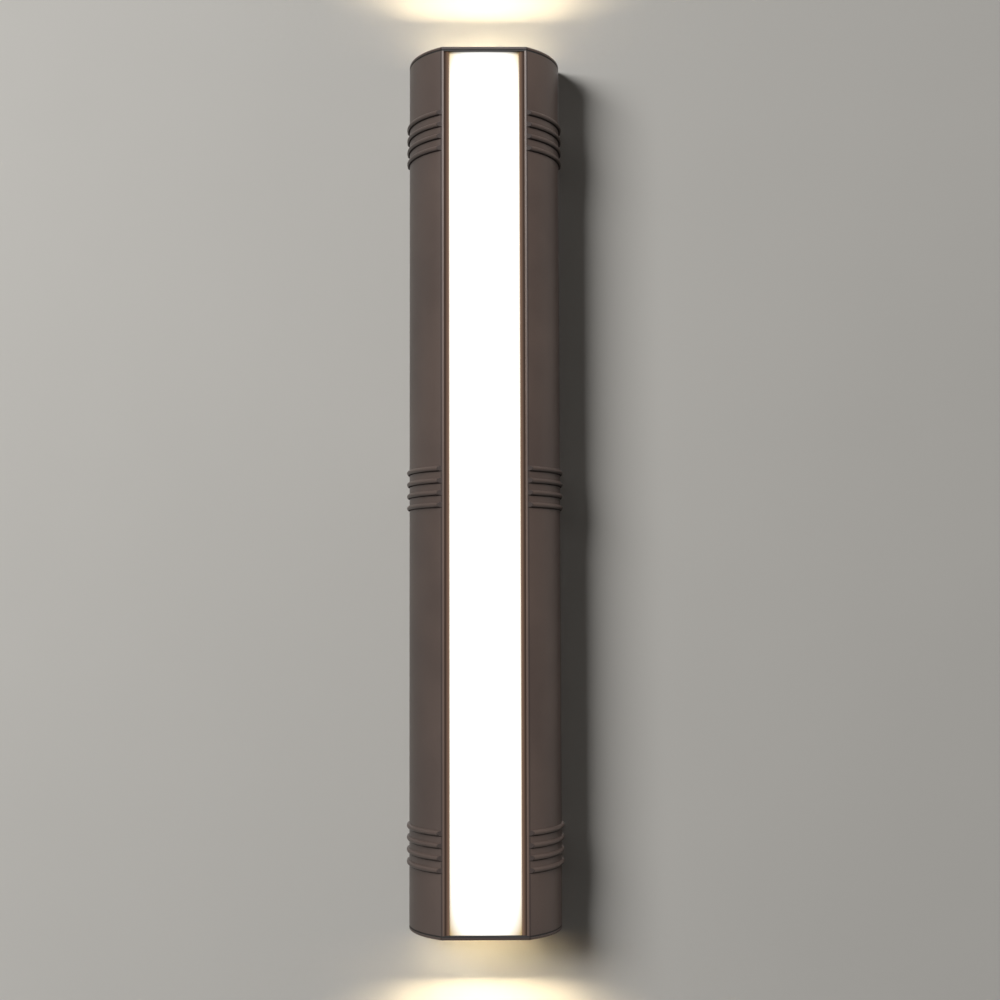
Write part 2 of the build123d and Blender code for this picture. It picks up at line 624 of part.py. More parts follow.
with BuildPart() as led_tray:
    with BuildSketch(Plane.XY.offset(-BODY_TOP_Z)):
        span(-TRAY_HALF_W, TRAY_FRONT_Y, TRAY_HALF_W, WEB_FRONT_Y)
        both_sides(tray_wall_x, CHAMBER_Y, tray_wall_x + TRAY_T, TRAY_FRONT_Y)
    extrude(amount=2 * BODY_TOP_Z)
    drill(
        at_depth(WEB_FRONT_Y), tray_screw_points, TRAY_SCREW[2] + SCREW_HOLE_CLEARANCE, TRAY_T
    )
    drill(at_depth(WEB_FRONT_Y), [(FRONT_LEAD_X, FRONT_LEAD_Z)], tray_grommet_hole_r, TRAY_T)
write(led_tray, "led_tray")

with BuildPart() as tray_screws:
    screws(at_depth(WEB_BACK_Y), tray_screw_points, TRAY_SCREW, facing=-1)
write(tray_screws, "tray_screws")

with BuildPart() as tray_grommet:
    grommet_seat = at_depth(WEB_BACK_Y)
    with BuildSketch(grommet_seat):
        with Locations((FRONT_LEAD_X, FRONT_LEAD_Z)):
            small_round(TRAY_GROMMET_R)
    extrude(amount=-TRAY_GROMMET_T)
    with BuildSketch(grommet_seat):
        with Locations((FRONT_LEAD_X, FRONT_LEAD_Z)):
            small_round(tray_grommet_hole_r - GROMMET_FIT)
    extrude(amount=WEB_T + TRAY_T)
    drill(grommet_seat, [(FRONT_LEAD_X, FRONT_LEAD_Z)], module_lead_hole_r, WEB_T + TRAY_T)
write(tray_grommet, "tray_grommet")

board_middle_z = FRONT_BOARD_GAP / 2 + FRONT_BOARD_L / 2
with BuildPart() as front_led_boards:
    with BuildSketch(at_depth(TRAY_FRONT_Y)):
        with Locations((0, -board_middle_z), (0, board_middle_z)):
            Rectangle(FRONT_BOARD_W, FRONT_BOARD_L)
        with Locations((FRONT_LEAD_X, FRONT_LEAD_Z)):
            small_round(module_lead_hole_r, Mode.SUBTRACT)
    extrude(amount=FRONT_BOARD_T)
write(front_led_boards, "front_led_boards")

with BuildPart() as front_led_chips:
    with BuildSketch(at_depth(FRONT_BOARD_Y)):
        with Locations((0, -board_middle_z), (0, board_middle_z)):
            with GridLocations(CHIP_ROW_GAP, CHIP_PITCH, 2, CHIPS_PER_ROW):
                Rectangle(CHIP_W, CHIP_H)
    extrude(amount=CHIP_T)
write(front_led_chips, "front_led_chips")

# ---- Driver ----
driver_back_y = WEB_BACK_Y + DRIVER_T
with BuildPart() as driver_case:
    with BuildSketch(at_depth(WEB_BACK_Y)):
        with Locations((0, DRIVER_Z)):
            Rectangle(DRIVER_W, DRIVER_L)
    extrude(amount=-DRIVER_T)
    case_edges = driver_case.faces().sort_by(Axis.Y)[-1].edges()
    chamfer([*case_edges, *driver_case.edges().filter_by(Axis.Y)], DRIVER_CHAMFER)
    with BuildSketch(at_depth(WEB_BACK_Y)):
        with Locations((0, DRIVER_Z)):
            Rectangle(DRIVER_EAR_W, DRIVER_L + 2 * DRIVER_EAR_L)
    extrude(amount=-DRIVER_EAR_T)
    drill(
        at_depth(WEB_BACK_Y),
        driver_screw_points,
        DRIVER_SCREW[2] + SCREW_HOLE_CLEARANCE,
        DRIVER_EAR_T,
    )
write(driver_case, "driver_case")

with BuildPart() as driver_screws:
    screws(at_depth(WEB_BACK_Y + DRIVER_EAR_T), driver_screw_points, DRIVER_SCREW, facing=-1)
write(driver_screws, "driver_screws")

# ---- Terminal block and its clamping screws ----
terminal_back_y = WEB_BACK_Y + TERMINAL_T
pole_points = [(x, TERMINAL_Z + z) for x, z in POLES]
pole_floor = at_depth(terminal_back_y - POLE_WELL_DEPTH)
with BuildPart() as terminal_block:
    with BuildSketch(at_depth(WEB_BACK_Y)):
        with Locations((0, TERMINAL_Z)):
            Rectangle(TERMINAL_W, TERMINAL_H)
    extrude(amount=-TERMINAL_T)
    with BuildSketch(pole_floor):
        with Locations(*pole_points):
            small_round(POLE_WELL_R)
    extrude(amount=-POLE_WELL_DEPTH, mode=Mode.SUBTRACT)
    wire_points = [(i * POLE_PITCH, WEB_BACK_Y + WIRE_HOLE_RISE) for i in (-1, 0, 1)]
    for end_z in (TERMINAL_TOP_Z, TERMINAL_BOTTOM_Z):
        drill(Plane.XY.offset(end_z), wire_points, WIRE_HOLE_R, WIRE_HOLE_DEPTH)
write(terminal_block, "terminal_block")

with BuildPart() as terminal_screws:
    with BuildSketch(pole_floor):
        with Locations(*pole_points):
            small_round(POLE_SCREW_R)
    extrude(amount=-POLE_SCREW_L)
write(terminal_screws, "terminal_screws")

# ---- Cord clamp beside the terminal block ----
with BuildPart() as cord_clamp:
    with BuildSketch(Plane.XY.offset(CLAMP_Z - CLAMP_W / 2)):
        span(-CLAMP_HALF_L, WEB_BACK_Y, CLAMP_HALF_L, WEB_BACK_Y + CLAMP_FOOT_T)
        with Locations((0, WEB_BACK_Y + CORD_SPACE_R / 2)):
            Circle(CORD_SPACE_R + CLAMP_ARCH_T)
            Circle(CORD_SPACE_R, mode=Mode.SUBTRACT)
        arch_x = CORD_SPACE_R + CLAMP_ARCH_T
        span(-arch_x, WEB_BACK_Y - arch_x, arch_x, WEB_BACK_Y, Mode.SUBTRACT)
    extrude(amount=CLAMP_W)
    drill(
        at_depth(WEB_BACK_Y),
        clamp_screw_points,
        CLAMP_SCREW[2] + SCREW_HOLE_CLEARANCE,
        CLAMP_FOOT_T,
    )
write(cord_clamp, "cord_clamp")

with BuildPart() as cord_clamp_screws:
    screws(at_depth(WEB_BACK_Y + CLAMP_FOOT_T), clamp_screw_points, CLAMP_SCREW, facing=-1)
write(cord_clamp_screws, "cord_clamp_screws")

# ---- Wall bracket: a plate with an end tab under each cap ----
with BuildPart() as wall_bracket:
    with BuildSketch(at_depth(0)):
        Rectangle(BRACKET_W, 2 * TAB_Z)
        with Locations((0, -WALL_HOLE_SPACING / 2), (0, WALL_HOLE_SPACING / 2)):
            Circle(WALL_HOLE_R, mode=Mode.SUBTRACT)
        with Locations((0, CORD_HOLE_Z)):
            Circle(CORD_HOLE_R, mode=Mode.SUBTRACT)
        with Locations((0, -BRACKET_SLOT_Z), (0, BRACKET_SLOT_Z)):
            SlotOverall(BRACKET_SLOT_L, BRACKET_SLOT_W, rotation=90, mode=Mode.SUBTRACT)
        with Locations((EARTH_X, EARTH_Z)):
            small_round(EARTH_SCREW[2] + SCREW_HOLE_CLEARANCE, Mode.SUBTRACT)
    extrude(amount=BRACKET_T)
    with BuildSketch(Plane.XY.offset(TAB_Z)):
        span(-TAB_HALF_W, -TAB_D, TAB_HALF_W, 0)
        with Locations((0, LOCK_Y)):
            small_round(LOCK_THREAD_R, Mode.SUBTRACT)
    upper_tab = extrude(amount=-BRACKET_T)
    mirror(upper_tab, about=Plane.XY)
write(wall_bracket, "wall_bracket")

with BuildPart() as cord_grommet:
    with BuildSketch(at_depth(0)):
        with Locations((0, CORD_HOLE_Z)):
            RegularPolygon(CORD_HOLE_R - GROMMET_FIT, GROMMET_SIDES)
    extrude(amount=BRACKET_T)
    with BuildSketch(at_depth(-BRACKET_T)):
        with Locations((0, CORD_HOLE_Z)):
            RegularPolygon(GROMMET_FLANGE_R, GROMMET_SIDES)
    extrude(amount=GROMMET_FLANGE_T)
    grommet_length = BRACKET_T + GROMMET_FLANGE_T
    with BuildSketch(at_depth(0)):
        with Locations((0, CORD_HOLE_Z)):
            Circle(GROMMET_BORE_R)
    extrude(amount=grommet_length, mode=Mode.SUBTRACT)
write(cord_grommet, "cord_grommet")

# ---- Earth tag and screw on the bracket ----
tag_face = at_depth(-BRACKET_T)
barrel_y = -BRACKET_T - EARTH_BARREL_R
barrel_bottom_z = EARTH_Z + EARTH_BARREL_RISE
barrel_top_z = barrel_bottom_z + EARTH_BARREL_L
with BuildPart() as earth_tag:
    with BuildSketch(tag_face):
        with Locations((EARTH_X, EARTH_Z)):
            small_round(EARTH_TAG_R)
        span(EARTH_X - EARTH_BARREL_R, EARTH_Z, EARTH_X + EARTH_BARREL_R, barrel_top_z)
        with Locations((EARTH_X, EARTH_Z)):
            small_round(EARTH_SCREW[2] + SCREW_HOLE_CLEARANCE, Mode.SUBTRACT)
    extrude(amount=EARTH_TAG_T)
    with BuildSketch(Plane.XY.offset(barrel_bottom_z)):
        with Locations((EARTH_X, barrel_y)):
            small_round(EARTH_BARREL_R)
    extrude(amount=EARTH_BARREL_L)
write(earth_tag, "earth_tag")

with BuildPart() as earth_screw:
    screws(tag_face.offset(EARTH_TAG_T), [(EARTH_X, EARTH_Z)], EARTH_SCREW)
write(earth_screw, "earth_screw")

# ---- Leads between the driver, the terminal block, the boards and the earth tag ----
driver_input_lead = lead(
    [
        (INPUT_LEAD_X, LEAD_Y, TERMINAL_TOP_Z),
        (INPUT_LEAD_X, LEAD_Y, TERMINAL_TOP_Z + INPUT_LEAD_RUN),
        (-INPUT_LEAD_X, LEAD_Y + INPUT_LEAD_STEP_Y, DRIVER_BOTTOM_Z - INPUT_LEAD_RUN),
        (-INPUT_LEAD_X, LEAD_Y + INPUT_LEAD_STEP_Y, DRIVER_BOTTOM_Z),
    ],
    INPUT_LEAD_BEND_R,
    SUPPLY_LEAD_R,
)
write(driver_input_lead, "driver_input_lead")

front_light_lead = lead(
    [
        (FRONT_LEAD_X, LEAD_Y, DRIVER_TOP_Z),
        (FRONT_LEAD_X, LEAD_Y, FRONT_LEAD_Z),
        (FRONT_LEAD_X, FRONT_BOARD_Y, FRONT_LEAD_Z),
    ],
    FRONT_LEAD_BEND_R,
    LIGHT_LEAD_R,
)
write(front_light_lead, "front_light_lead")

upper_light_lead = lead(
    [
        (UPPER_LEAD_X, LEAD_Y, DRIVER_TOP_Z),
        (UPPER_LEAD_X, LEAD_Y, DRIVER_TOP_Z + UPPER_LEAD_START_RUN),
        (MODULE_LEAD_X, WINDOW_Y, PLATE_TOP_Z - UPPER_LEAD_END_RUN),
        (MODULE_LEAD_X, WINDOW_Y, BOARD_TOP_Z),
    ],
    MODULE_LEAD_BEND_R,
    LIGHT_LEAD_R,
)
write(upper_light_lead, "upper_light_lead")

slope_top_z = DRIVER_BOTTOM_Z - LOWER_LEAD_START_RUN
lower_light_lead = lead(
    [
        (LOWER_LEAD_X, LEAD_Y, DRIVER_BOTTOM_Z),
        (LOWER_LEAD_X, LEAD_Y, slope_top_z),
        (MODULE_LEAD_X, WINDOW_Y, slope_top_z - LOWER_LEAD_SLOPE_RUN),
        (MODULE_LEAD_X, WINDOW_Y, -BOARD_TOP_Z),
    ],
    MODULE_LEAD_BEND_R,
    LIGHT_LEAD_R,
)
write(lower_light_lead, "lower_light_lead")

earth_lead = lead(
    [
        (POLE_PITCH, LEAD_Y, TERMINAL_BOTTOM_Z),
        (POLE_PITCH, LEAD_Y, TERMINAL_BOTTOM_Z - EARTH_LEAD_RUN),
        (EARTH_X, barrel_y, barrel_top_z + EARTH_LEAD_RUN),
        (EARTH_X, barrel_y, barrel_top_z),
    ],
    EARTH_LEAD_BEND_R,
    EARTH_LEAD_R,
)
write(earth_lead, "earth_lead")
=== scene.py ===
"""Tube wall light: rounded pieces, finishes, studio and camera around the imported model. Metres, +Z up."""

import bmesh
import bpy
import numpy as np
from mathutils import Matrix, Vector
from mathutils.geometry import tessellate_polygon


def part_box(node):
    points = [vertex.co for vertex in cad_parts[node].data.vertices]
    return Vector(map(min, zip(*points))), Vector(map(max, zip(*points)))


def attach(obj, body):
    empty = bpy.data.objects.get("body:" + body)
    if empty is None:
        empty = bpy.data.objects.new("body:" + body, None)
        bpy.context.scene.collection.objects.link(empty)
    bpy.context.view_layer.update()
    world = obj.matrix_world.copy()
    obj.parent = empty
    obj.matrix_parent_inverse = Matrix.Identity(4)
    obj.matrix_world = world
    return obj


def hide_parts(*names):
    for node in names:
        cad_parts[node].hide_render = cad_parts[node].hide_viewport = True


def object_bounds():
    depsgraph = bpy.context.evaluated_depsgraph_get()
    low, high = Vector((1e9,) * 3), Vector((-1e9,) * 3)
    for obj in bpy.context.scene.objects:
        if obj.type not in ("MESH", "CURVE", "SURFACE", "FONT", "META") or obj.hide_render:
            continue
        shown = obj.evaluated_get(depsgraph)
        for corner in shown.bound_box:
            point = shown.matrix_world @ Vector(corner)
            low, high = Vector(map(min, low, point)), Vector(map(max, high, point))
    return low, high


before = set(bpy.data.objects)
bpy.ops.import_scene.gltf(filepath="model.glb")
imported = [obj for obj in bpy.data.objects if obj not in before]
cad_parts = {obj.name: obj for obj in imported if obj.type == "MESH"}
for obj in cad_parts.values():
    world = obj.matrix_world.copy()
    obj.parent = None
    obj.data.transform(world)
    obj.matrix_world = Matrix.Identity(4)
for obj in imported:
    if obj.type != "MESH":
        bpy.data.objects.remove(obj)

bl_info = {
    "name": "Tube Wall Light",
    "version": (1, 0, 0),
    "blender": (4, 5, 0),
    "location": "3D View > Sidebar > Wall Light",
    "description": "Builds a lit tube wall light with its finishes, studio and camera",
    "category": "Add Mesh",
}

CAD_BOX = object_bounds()
MM = 0.001

# ---- Housing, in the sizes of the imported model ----
SHELL_LOW, SHELL_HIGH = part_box("body_shell")
CAP_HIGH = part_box("top_end_cap")[1]
TUBE_R = CAP_HIGH.x
BEAD_RISE = SHELL_HIGH.x - TUBE_R
FRONT_Y = SHELL_LOW.y
REAR_Y = SHELL_HIGH.y
BODY_TOP_Z = SHELL_HIGH.z
TOP_Z = CAP_HIGH.z
CAP_T = TOP_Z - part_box("top_cap_gasket")[1].z
AXIS_Y = REAR_Y - 4 * MM
WALL = 2.5 * MM
INNER_R = TUBE_R - WALL
REAR_FLANGE_W = 7.5 * MM
REAR_FLANGE_T = 2 * MM
LIP_W = 1.6 * MM
STEP_Y = FRONT_Y + 1 * MM
TIP_Y = STEP_Y + 1.2 * MM
SLOT_FRONT_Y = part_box("diffuser_seals")[0].y
SLOT_BACK_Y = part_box("diffuser_seals")[1].y
SLOT_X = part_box("diffuser_seals")[1].x
OPENING_HALF_W = 24 * MM
FRAME_WALL = 1.6 * MM
CHAMBER_Y = SLOT_BACK_Y + 1.5 * MM
RAIL_TIP_X = OPENING_HALF_W + 0.8 * MM
WEB_FRONT_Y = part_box("led_tray")[1].y
WEB_BACK_Y = WEB_FRONT_Y + 1.6 * MM
FRONT_REACH = AXIS_Y - FRONT_Y
CORNER_X = float(np.sqrt(TUBE_R**2 - FRONT_REACH**2))
GROOVE_W = 0.8 * MM
GROOVE_DEPTH = 1.0 * MM
CORNER_EASE = 0.3 * MM
LIP_EASE = 0.5 * MM

# ---- Beads, in three groups of four ----
BEAD_PITCH = 8.15 * MM
BEADS_PER_GROUP = 4
BEAD_GROUP_Z = TOP_Z - 57.5 * MM
BEAD_SETBACK = 0.2 * MM

# ---- Screw ports, caps and windows ----
PORT_R = 3.5 * MM
PORT_BORE_R = 1.5 * MM
PORT_RING_R = TUBE_R - 5.6 * MM
PORT_YS = (FRONT_Y + 10.9 * MM, AXIS_Y - 1.3 * MM)
RIGHT_PORTS = [(float(np.sqrt(PORT_RING_R**2 - (AXIS_Y - y) ** 2)), y) for y in PORT_YS]
PORTS = [(side * x, y) for x, y in RIGHT_PORTS for side in (1, -1)]
LOCK_POINT = (0.0, -4.9 * MM)
CAP_EDGE_R = 0.4 * MM
CAP_HOLE_R = 1.8 * MM
COUNTERBORE_R = 3.1 * MM
COUNTERBORE_DEPTH = 0.9 * MM
HOLE_EASE = 0.2 * MM
LENS_LOW, LENS_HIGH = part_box("top_window")
LENS_LAP = 1.5 * MM
WINDOW_W = LENS_HIGH.x - LENS_LOW.x - 2 * LENS_LAP
WINDOW_D = LENS_HIGH.y - LENS_LOW.y - 2 * LENS_LAP
WINDOW_R = 0.3 * WINDOW_D
WINDOW_Y = (LENS_LOW.y + LENS_HIGH.y) / 2
WINDOW_EASE = 0.4 * MM
REFLECTOR_FOOT_Z = 266 * MM
REFLECTOR_RIM_Z = 294 * MM
REFLECTOR_RIM_GLOW = 0.35

# ---- Screws: head radius, head height, shank radius, shank length ----
CAP_SCREW = (2.8 * MM, 0.8 * MM, 1.4 * MM, 9 * MM)
LOCK_SCREW = (2.8 * MM, 0.8 * MM, 1.5 * MM, 5.5 * MM)
SOCKET_SHARE = 0.55
SOCKET_DEPTH_SHARE = 0.6
SOCKET_RIM_SHARE = 1.12
HEAD_EASE_SHARE = 0.3
TIP_START_SHARE = 0.9
TIP_R_SHARE = 0.6

# ---- Points on curved stretches ----
ROUND_STEPS = 36
BORE_STEPS = 24
BEAD_END_STEPS = 24
FLANK_STEPS = 44
CAP_FLANK_STEPS = 64
CAP_EDGE_STEPS = 6
HEAD_STEPS = 4
LIP_STEPS = 5
CORNER_STEPS = 6
BEAD_ROWS = 11

# ---- Painted light and shade on the housing's coat: glow beside the diffuser, and shade in creases and on front edges ----
SPILL_REACH = 2.8 * MM
SPILL_END_SHARE = 0.15
LIP_SPILL = 0.25
SHADE_COLOUR = (0.02, 0.012, 0.01)
LIP_SHADE = 0.25
BEAD_END_SHADE = 0.75
CAP_FRONT_SHADE = 0.6
# Widths of the painted shadow line under each bead: full up to the core, gone at the edge.
CREASE_CORE = 0.1 * MM
CREASE_EDGE = 0.6 * MM
SKIN = 0.1 * MM

# ---- Edges of the diffuser: its light there is dimmer and warmer, and its colour is darkened as painted shade ----
EDGE_DIM_END_REACH = 12 * MM
EDGE_DIM_SIDE_REACH = 1.4 * MM
EDGE_DIM_CORNER_REACH = 8.5 * MM
EDGE_DIM_SIDE_SHARE = 0.62
EDGE_DIM_CORNER_SHARE = 0.5
OPAL_MIDDLE = (0.7, 0.69, 0.66)
OPAL_SHADED_EDGE = (0.56, 0.42, 0.22)


# ======================= Mesh helpers =======================
def strip_quads(levels, count, start=0):
    """Quads between successive loops of as many points, each loop closed on itself."""
    index = start + np.arange(levels * count).reshape(levels, count)
    low, high = index[:-1], index[1:]
    quads = np.stack([low, np.roll(low, -1, 1), np.roll(high, -1, 1), high], -1)
    return quads.reshape(-1, 4).tolist()


def circle(radius, steps=ROUND_STEPS):
    """Points of a circle in its own plane, in even steps of its angle."""
    angle = np.arange(steps) * 2 * np.pi / steps
    return np.stack([radius * np.cos(angle), radius * np.sin(angle)], -1)


def hexagon(radius, steps=ROUND_STEPS):
    """A hexagon with the points of a circle: each ray from the middle is cut at the nearest flat."""
    angle = np.arange(steps) * 2 * np.pi / steps
    sector = np.pi / 3
    flat = radius * np.cos(sector / 2)
    reach = flat / np.cos(np.mod(angle, sector) - sector / 2)
    return np.stack([reach * np.cos(angle), reach * np.sin(angle)], -1)


def rounded_rectangle(width, depth, radius, corner_steps=8):
    """Points of a rectangle whose corners are quarter circles."""
    turn = np.linspace(0, np.pi / 2, corner_steps)
    corners = []
    for quarter, (sx, sy) in enumerate(((1, 1), (-1, 1), (-1, -1), (1, -1))):
        angle = turn + quarter * np.pi / 2
        middle = np.array([sx * (width / 2 - radius), sy * (depth / 2 - radius)])
        corners.append(middle + radius * np.stack([np.cos(angle), np.sin(angle)], -1))
    return np.concatenate(corners)


def level(outline, z, centre=(0.0, 0.0)):
    """A flat outline, moved to a centre in X and Y, at one height."""
    flat = np.asarray(outline) + np.asarray(centre)
    return np.column_stack([flat, np.full(len(flat), z)])


def put_mesh(name, points, faces, slot, replaced, crease_deg=32.0):
    """New piece at the origin: its doubles are merged, its normals point outward, and its edges are sharp
    past the crease."""
    mesh = bpy.data.meshes.new(name)
    mesh.from_pydata(points, [], faces)
    shell = bmesh.new()
    shell.from_mesh(mesh)
    bmesh.ops.remove_doubles(shell, verts=shell.verts, dist=1e-7)
    bmesh.ops.recalc_face_normals(shell, faces=shell.faces)
    shell.to_mesh(mesh)
    shell.free()
    mesh.shade_smooth()
    mesh.set_sharp_from_angle(angle=np.radians(crease_deg))
    mesh.materials.append(FINISHES[slot]())
    piece = bpy.data.objects.new(name, mesh)
    bpy.context.scene.collection.objects.link(piece)
    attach(piece, "root")
    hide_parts(*replaced)
    return piece


def holed_solid(outline, holes):
    """Closed solid between flat ends: the outline and each hole are stacks of loops, from one end to the
    other. Quads join the loops of a stack, and each end is filled between its outline and its holes."""
    stacks = [outline, *holes]
    faces, first_rims, last_rims, start = [], [], [], 0
    for stack in stacks:
        levels, count = stack.shape[:2]
        faces += strip_quads(levels, count, start)
        first_rims.append(list(range(start, start + count)))
        start += levels * count
        last_rims.append(list(range(start - count, start)))
    points = np.concatenate([stack.reshape(-1, 3) for stack in stacks])
    for rims in (first_rims, last_rims):
        flat = [index for rim in rims for index in rim]
        fill = tessellate_polygon([[Vector(points[index]) for index in rim] for rim in rims])
        faces += [[flat[corner] for corner in triangle] for triangle in fill]
    return points, faces


def turned_solid(loops):
    """Closed solid from a chain of loops: quads join them, and the first and last are filled."""
    levels, count = loops.shape[:2]
    faces = strip_quads(levels, count)
    faces.append(list(range(count)))
    faces.append(list(range((levels - 1) * count, levels * count)))
    return loops.reshape(-1, 3), faces


def joined(solids):
    """Several solids as one list of points and one of faces."""
    points, faces, start = [], [], 0
    for solid_points, solid_faces in solids:
        points.append(solid_points)
        faces += [[start + index for index in face] for face in solid_faces]
        start += len(solid_points)
    return np.concatenate(points), faces


# ======================= Outlines of the housing =======================
def flank_arc(radius, start_deg, end_deg, steps):
    """Points about the tube's axis; angles start at +X and turn towards the front."""
    angle = np.radians(np.linspace(start_deg, end_deg, steps))
    return np.stack([radius * np.cos(angle), AXIS_Y - radius * np.sin(angle)], -1)


def rounded_corner(before, corner, after, ease, steps):
    """Corner between two straight runs as a curve that leaves each at the ease's distance from the
    corner: a blend of the leaving points and the corner with weights (1-t) squared, 2t(1-t), t squared."""
    before, corner, after = (np.asarray(point, float) for point in (before, corner, after))
    leave = corner + ease * (before - corner) / np.linalg.norm(before - corner)
    join = corner + ease * (after - corner) / np.linalg.norm(after - corner)
    t = np.linspace(0, 1, steps)[:, None]
    return (1 - t) ** 2 * leave + 2 * t * (1 - t) * corner + t**2 * join


def inner_wall(start_deg, end_deg, step_deg=0.6):
    """Inside of the flank: on each ray from the axis, the wall or the near side of a screw port."""
    steps = int(abs(end_deg - start_deg) / step_deg) + 2
    angle = np.radians(np.linspace(start_deg, end_deg, steps))
    reach = np.full_like(angle, INNER_R)
    for port_x, port_y in RIGHT_PORTS:
        forward = AXIS_Y - port_y
        distance, bearing = np.hypot(port_x, forward), np.arctan2(forward, port_x)
        across = distance * np.sin(angle - bearing)
        half_chord = np.sqrt(np.maximum(PORT_R**2 - across**2, 0))
        near_side = distance * np.cos(angle - bearing) - half_chord
        reach = np.where(np.abs(across) < PORT_R, np.minimum(reach, near_side), reach)
    return np.stack([reach * np.cos(angle), AXIS_Y - reach * np.sin(angle)], -1)


def outer_half():
    """Right flank from the front corner to the wall, with close steps where the beads end."""
    corner_deg = np.degrees(np.arcsin(FRONT_REACH / TUBE_R))
    bead_end_deg = np.degrees(np.arcsin((FRONT_REACH - BEAD_SETBACK) / (TUBE_R + BEAD_RISE)))
    ease_deg = np.degrees(CORNER_EASE / TUBE_R)
    bead_ends = flank_arc(TUBE_R, corner_deg - ease_deg, bead_end_deg, BEAD_END_STEPS)
    flank = flank_arc(TUBE_R, bead_end_deg, 0, FLANK_STEPS)[1:]
    skirt = np.array([(TUBE_R, (AXIS_Y + REAR_Y) / 2), (TUBE_R, REAR_Y)])
    return np.concatenate([bead_ends, flank, skirt])


def housing_half():
    """Right half of the section, from the middle of the web's front round the flank to the middle of its
    back. Returns the points and the outward direction of each, which is nothing off the outer flank."""
    web_front_deg = np.degrees(np.arcsin((AXIS_Y - WEB_FRONT_Y) / INNER_R))
    web_back_deg = np.degrees(np.arcsin((AXIS_Y - WEB_BACK_Y) / INNER_R))
    frame_x = SLOT_X + FRAME_WALL
    frame_deg = np.degrees(np.arccos(frame_x / INNER_R))
    flange_y = REAR_Y - REAR_FLANGE_T
    flange_deg = -np.degrees(np.arcsin((flange_y - AXIS_Y) / (INNER_R - PORT_R)))
    lip_x = CORNER_X - LIP_W
    groove_x = lip_x - GROOVE_W
    groove_top_y = STEP_Y + (TIP_Y - STEP_Y) * GROOVE_W / (lip_x - OPENING_HALF_W)
    groove_floor_y = STEP_Y + GROOVE_DEPTH
    outer = outer_half()
    front = [
        (frame_x, CHAMBER_Y),
        (RAIL_TIP_X, CHAMBER_Y),
        (RAIL_TIP_X, SLOT_BACK_Y),
        (SLOT_X, SLOT_BACK_Y),
        (SLOT_X, SLOT_FRONT_Y),
        (OPENING_HALF_W, SLOT_FRONT_Y),
        (OPENING_HALF_W, TIP_Y),
        (groove_x, groove_top_y),
        (groove_x, groove_floor_y),
        (lip_x, groove_floor_y),
        *rounded_corner((lip_x, STEP_Y), (lip_x, FRONT_Y), (CORNER_X, FRONT_Y), LIP_EASE, LIP_STEPS),
        *rounded_corner((lip_x, FRONT_Y), (CORNER_X, FRONT_Y), outer[0], CORNER_EASE, CORNER_STEPS)[:-1],
    ]
    rear = [(TUBE_R - REAR_FLANGE_W, REAR_Y), (TUBE_R - REAR_FLANGE_W, flange_y)]
    before = np.concatenate([[(0, WEB_FRONT_Y)], inner_wall(web_front_deg, frame_deg), front])
    after = np.concatenate([rear, inner_wall(flange_deg, web_back_deg), [(0, WEB_BACK_Y)]])
    points = np.concatenate([before, outer, after])
    out = np.stack([outer[:, 0], np.minimum(outer[:, 1] - AXIS_Y, 0)], -1)
    outward = np.zeros_like(points)
    outward[len(before) : len(before) + len(outer)] = out / np.linalg.norm(out, axis=1)[:, None]
    return points, outward


def mirrored(half, flip):
    """The right half followed by the left one, without the two points that they share."""
    return np.concatenate([half, (half * flip)[-2:0:-1]])


def bead_centres():
    """Heights of the beads, in three groups."""
    in_group = (np.arange(BEADS_PER_GROUP) - (BEADS_PER_GROUP - 1) / 2) * BEAD_PITCH
    return np.concatenate([group * BEAD_GROUP_Z + in_group for group in (-1, 0, 1)])


def housing_solid():
    """The section carried from end to end. Over a bead a point moves outward by the height of a
    half round above it, the square root of radius squared less the distance across the bead squared.
    It stops at the plane just behind the flat front, so each bead ends in a flat face."""
    half, out_half = housing_half()
    section = mirrored(half, (-1, 1))
    outward = mirrored(out_half, (-1, 1))
    across = -BEAD_RISE * np.cos(np.linspace(0, np.pi, BEAD_ROWS))
    beads = (bead_centres()[:, None] + across[None, :]).ravel()
    rows = np.concatenate([[-BODY_TOP_Z], beads, [BODY_TOP_Z]])
    off_bead = np.abs(rows[:, None] - bead_centres()[None, :]).min(1)
    height = np.sqrt(np.maximum(BEAD_RISE**2 - off_bead**2, 0))
    forward = np.maximum(-outward[:, 1], 1e-6)
    room = np.maximum((FRONT_REACH - BEAD_SETBACK) / forward - TUBE_R, 0)
    on_flank = np.linalg.norm(outward, axis=1) > 0
    rise = np.minimum(height[:, None], (room * on_flank)[None, :])
    flat = section[None, :, :] + rise[:, :, None] * outward[None, :, :]
    heights = np.broadcast_to(rows[:, None, None], (len(rows), len(section), 1))
    outline = np.concatenate([flat, heights], -1)
    bores = [
        np.stack([level(circle(PORT_BORE_R, BORE_STEPS), z, port) for z in (-BODY_TOP_Z, BODY_TOP_Z)])
        for port in PORTS
    ]
    return holed_solid(outline, bores)


def cap_outline(inset):
    """Outline of an end cap, drawn in from its edge by the inset."""
    radius, front, rear = TUBE_R - inset, FRONT_Y + inset, REAR_Y - inset
    corner_deg = np.degrees(np.arcsin((AXIS_Y - front) / radius))
    right = np.concatenate([flank_arc(radius, corner_deg, 0, CAP_FLANK_STEPS), [(radius, rear)]])
    return np.concatenate([right, (right * (-1, 1))[::-1]])


def window_outline(ease):
    """Outline of a cap's window, widened by the ease."""
    return rounded_rectangle(WINDOW_W + 2 * ease, WINDOW_D + 2 * ease, WINDOW_R + ease)


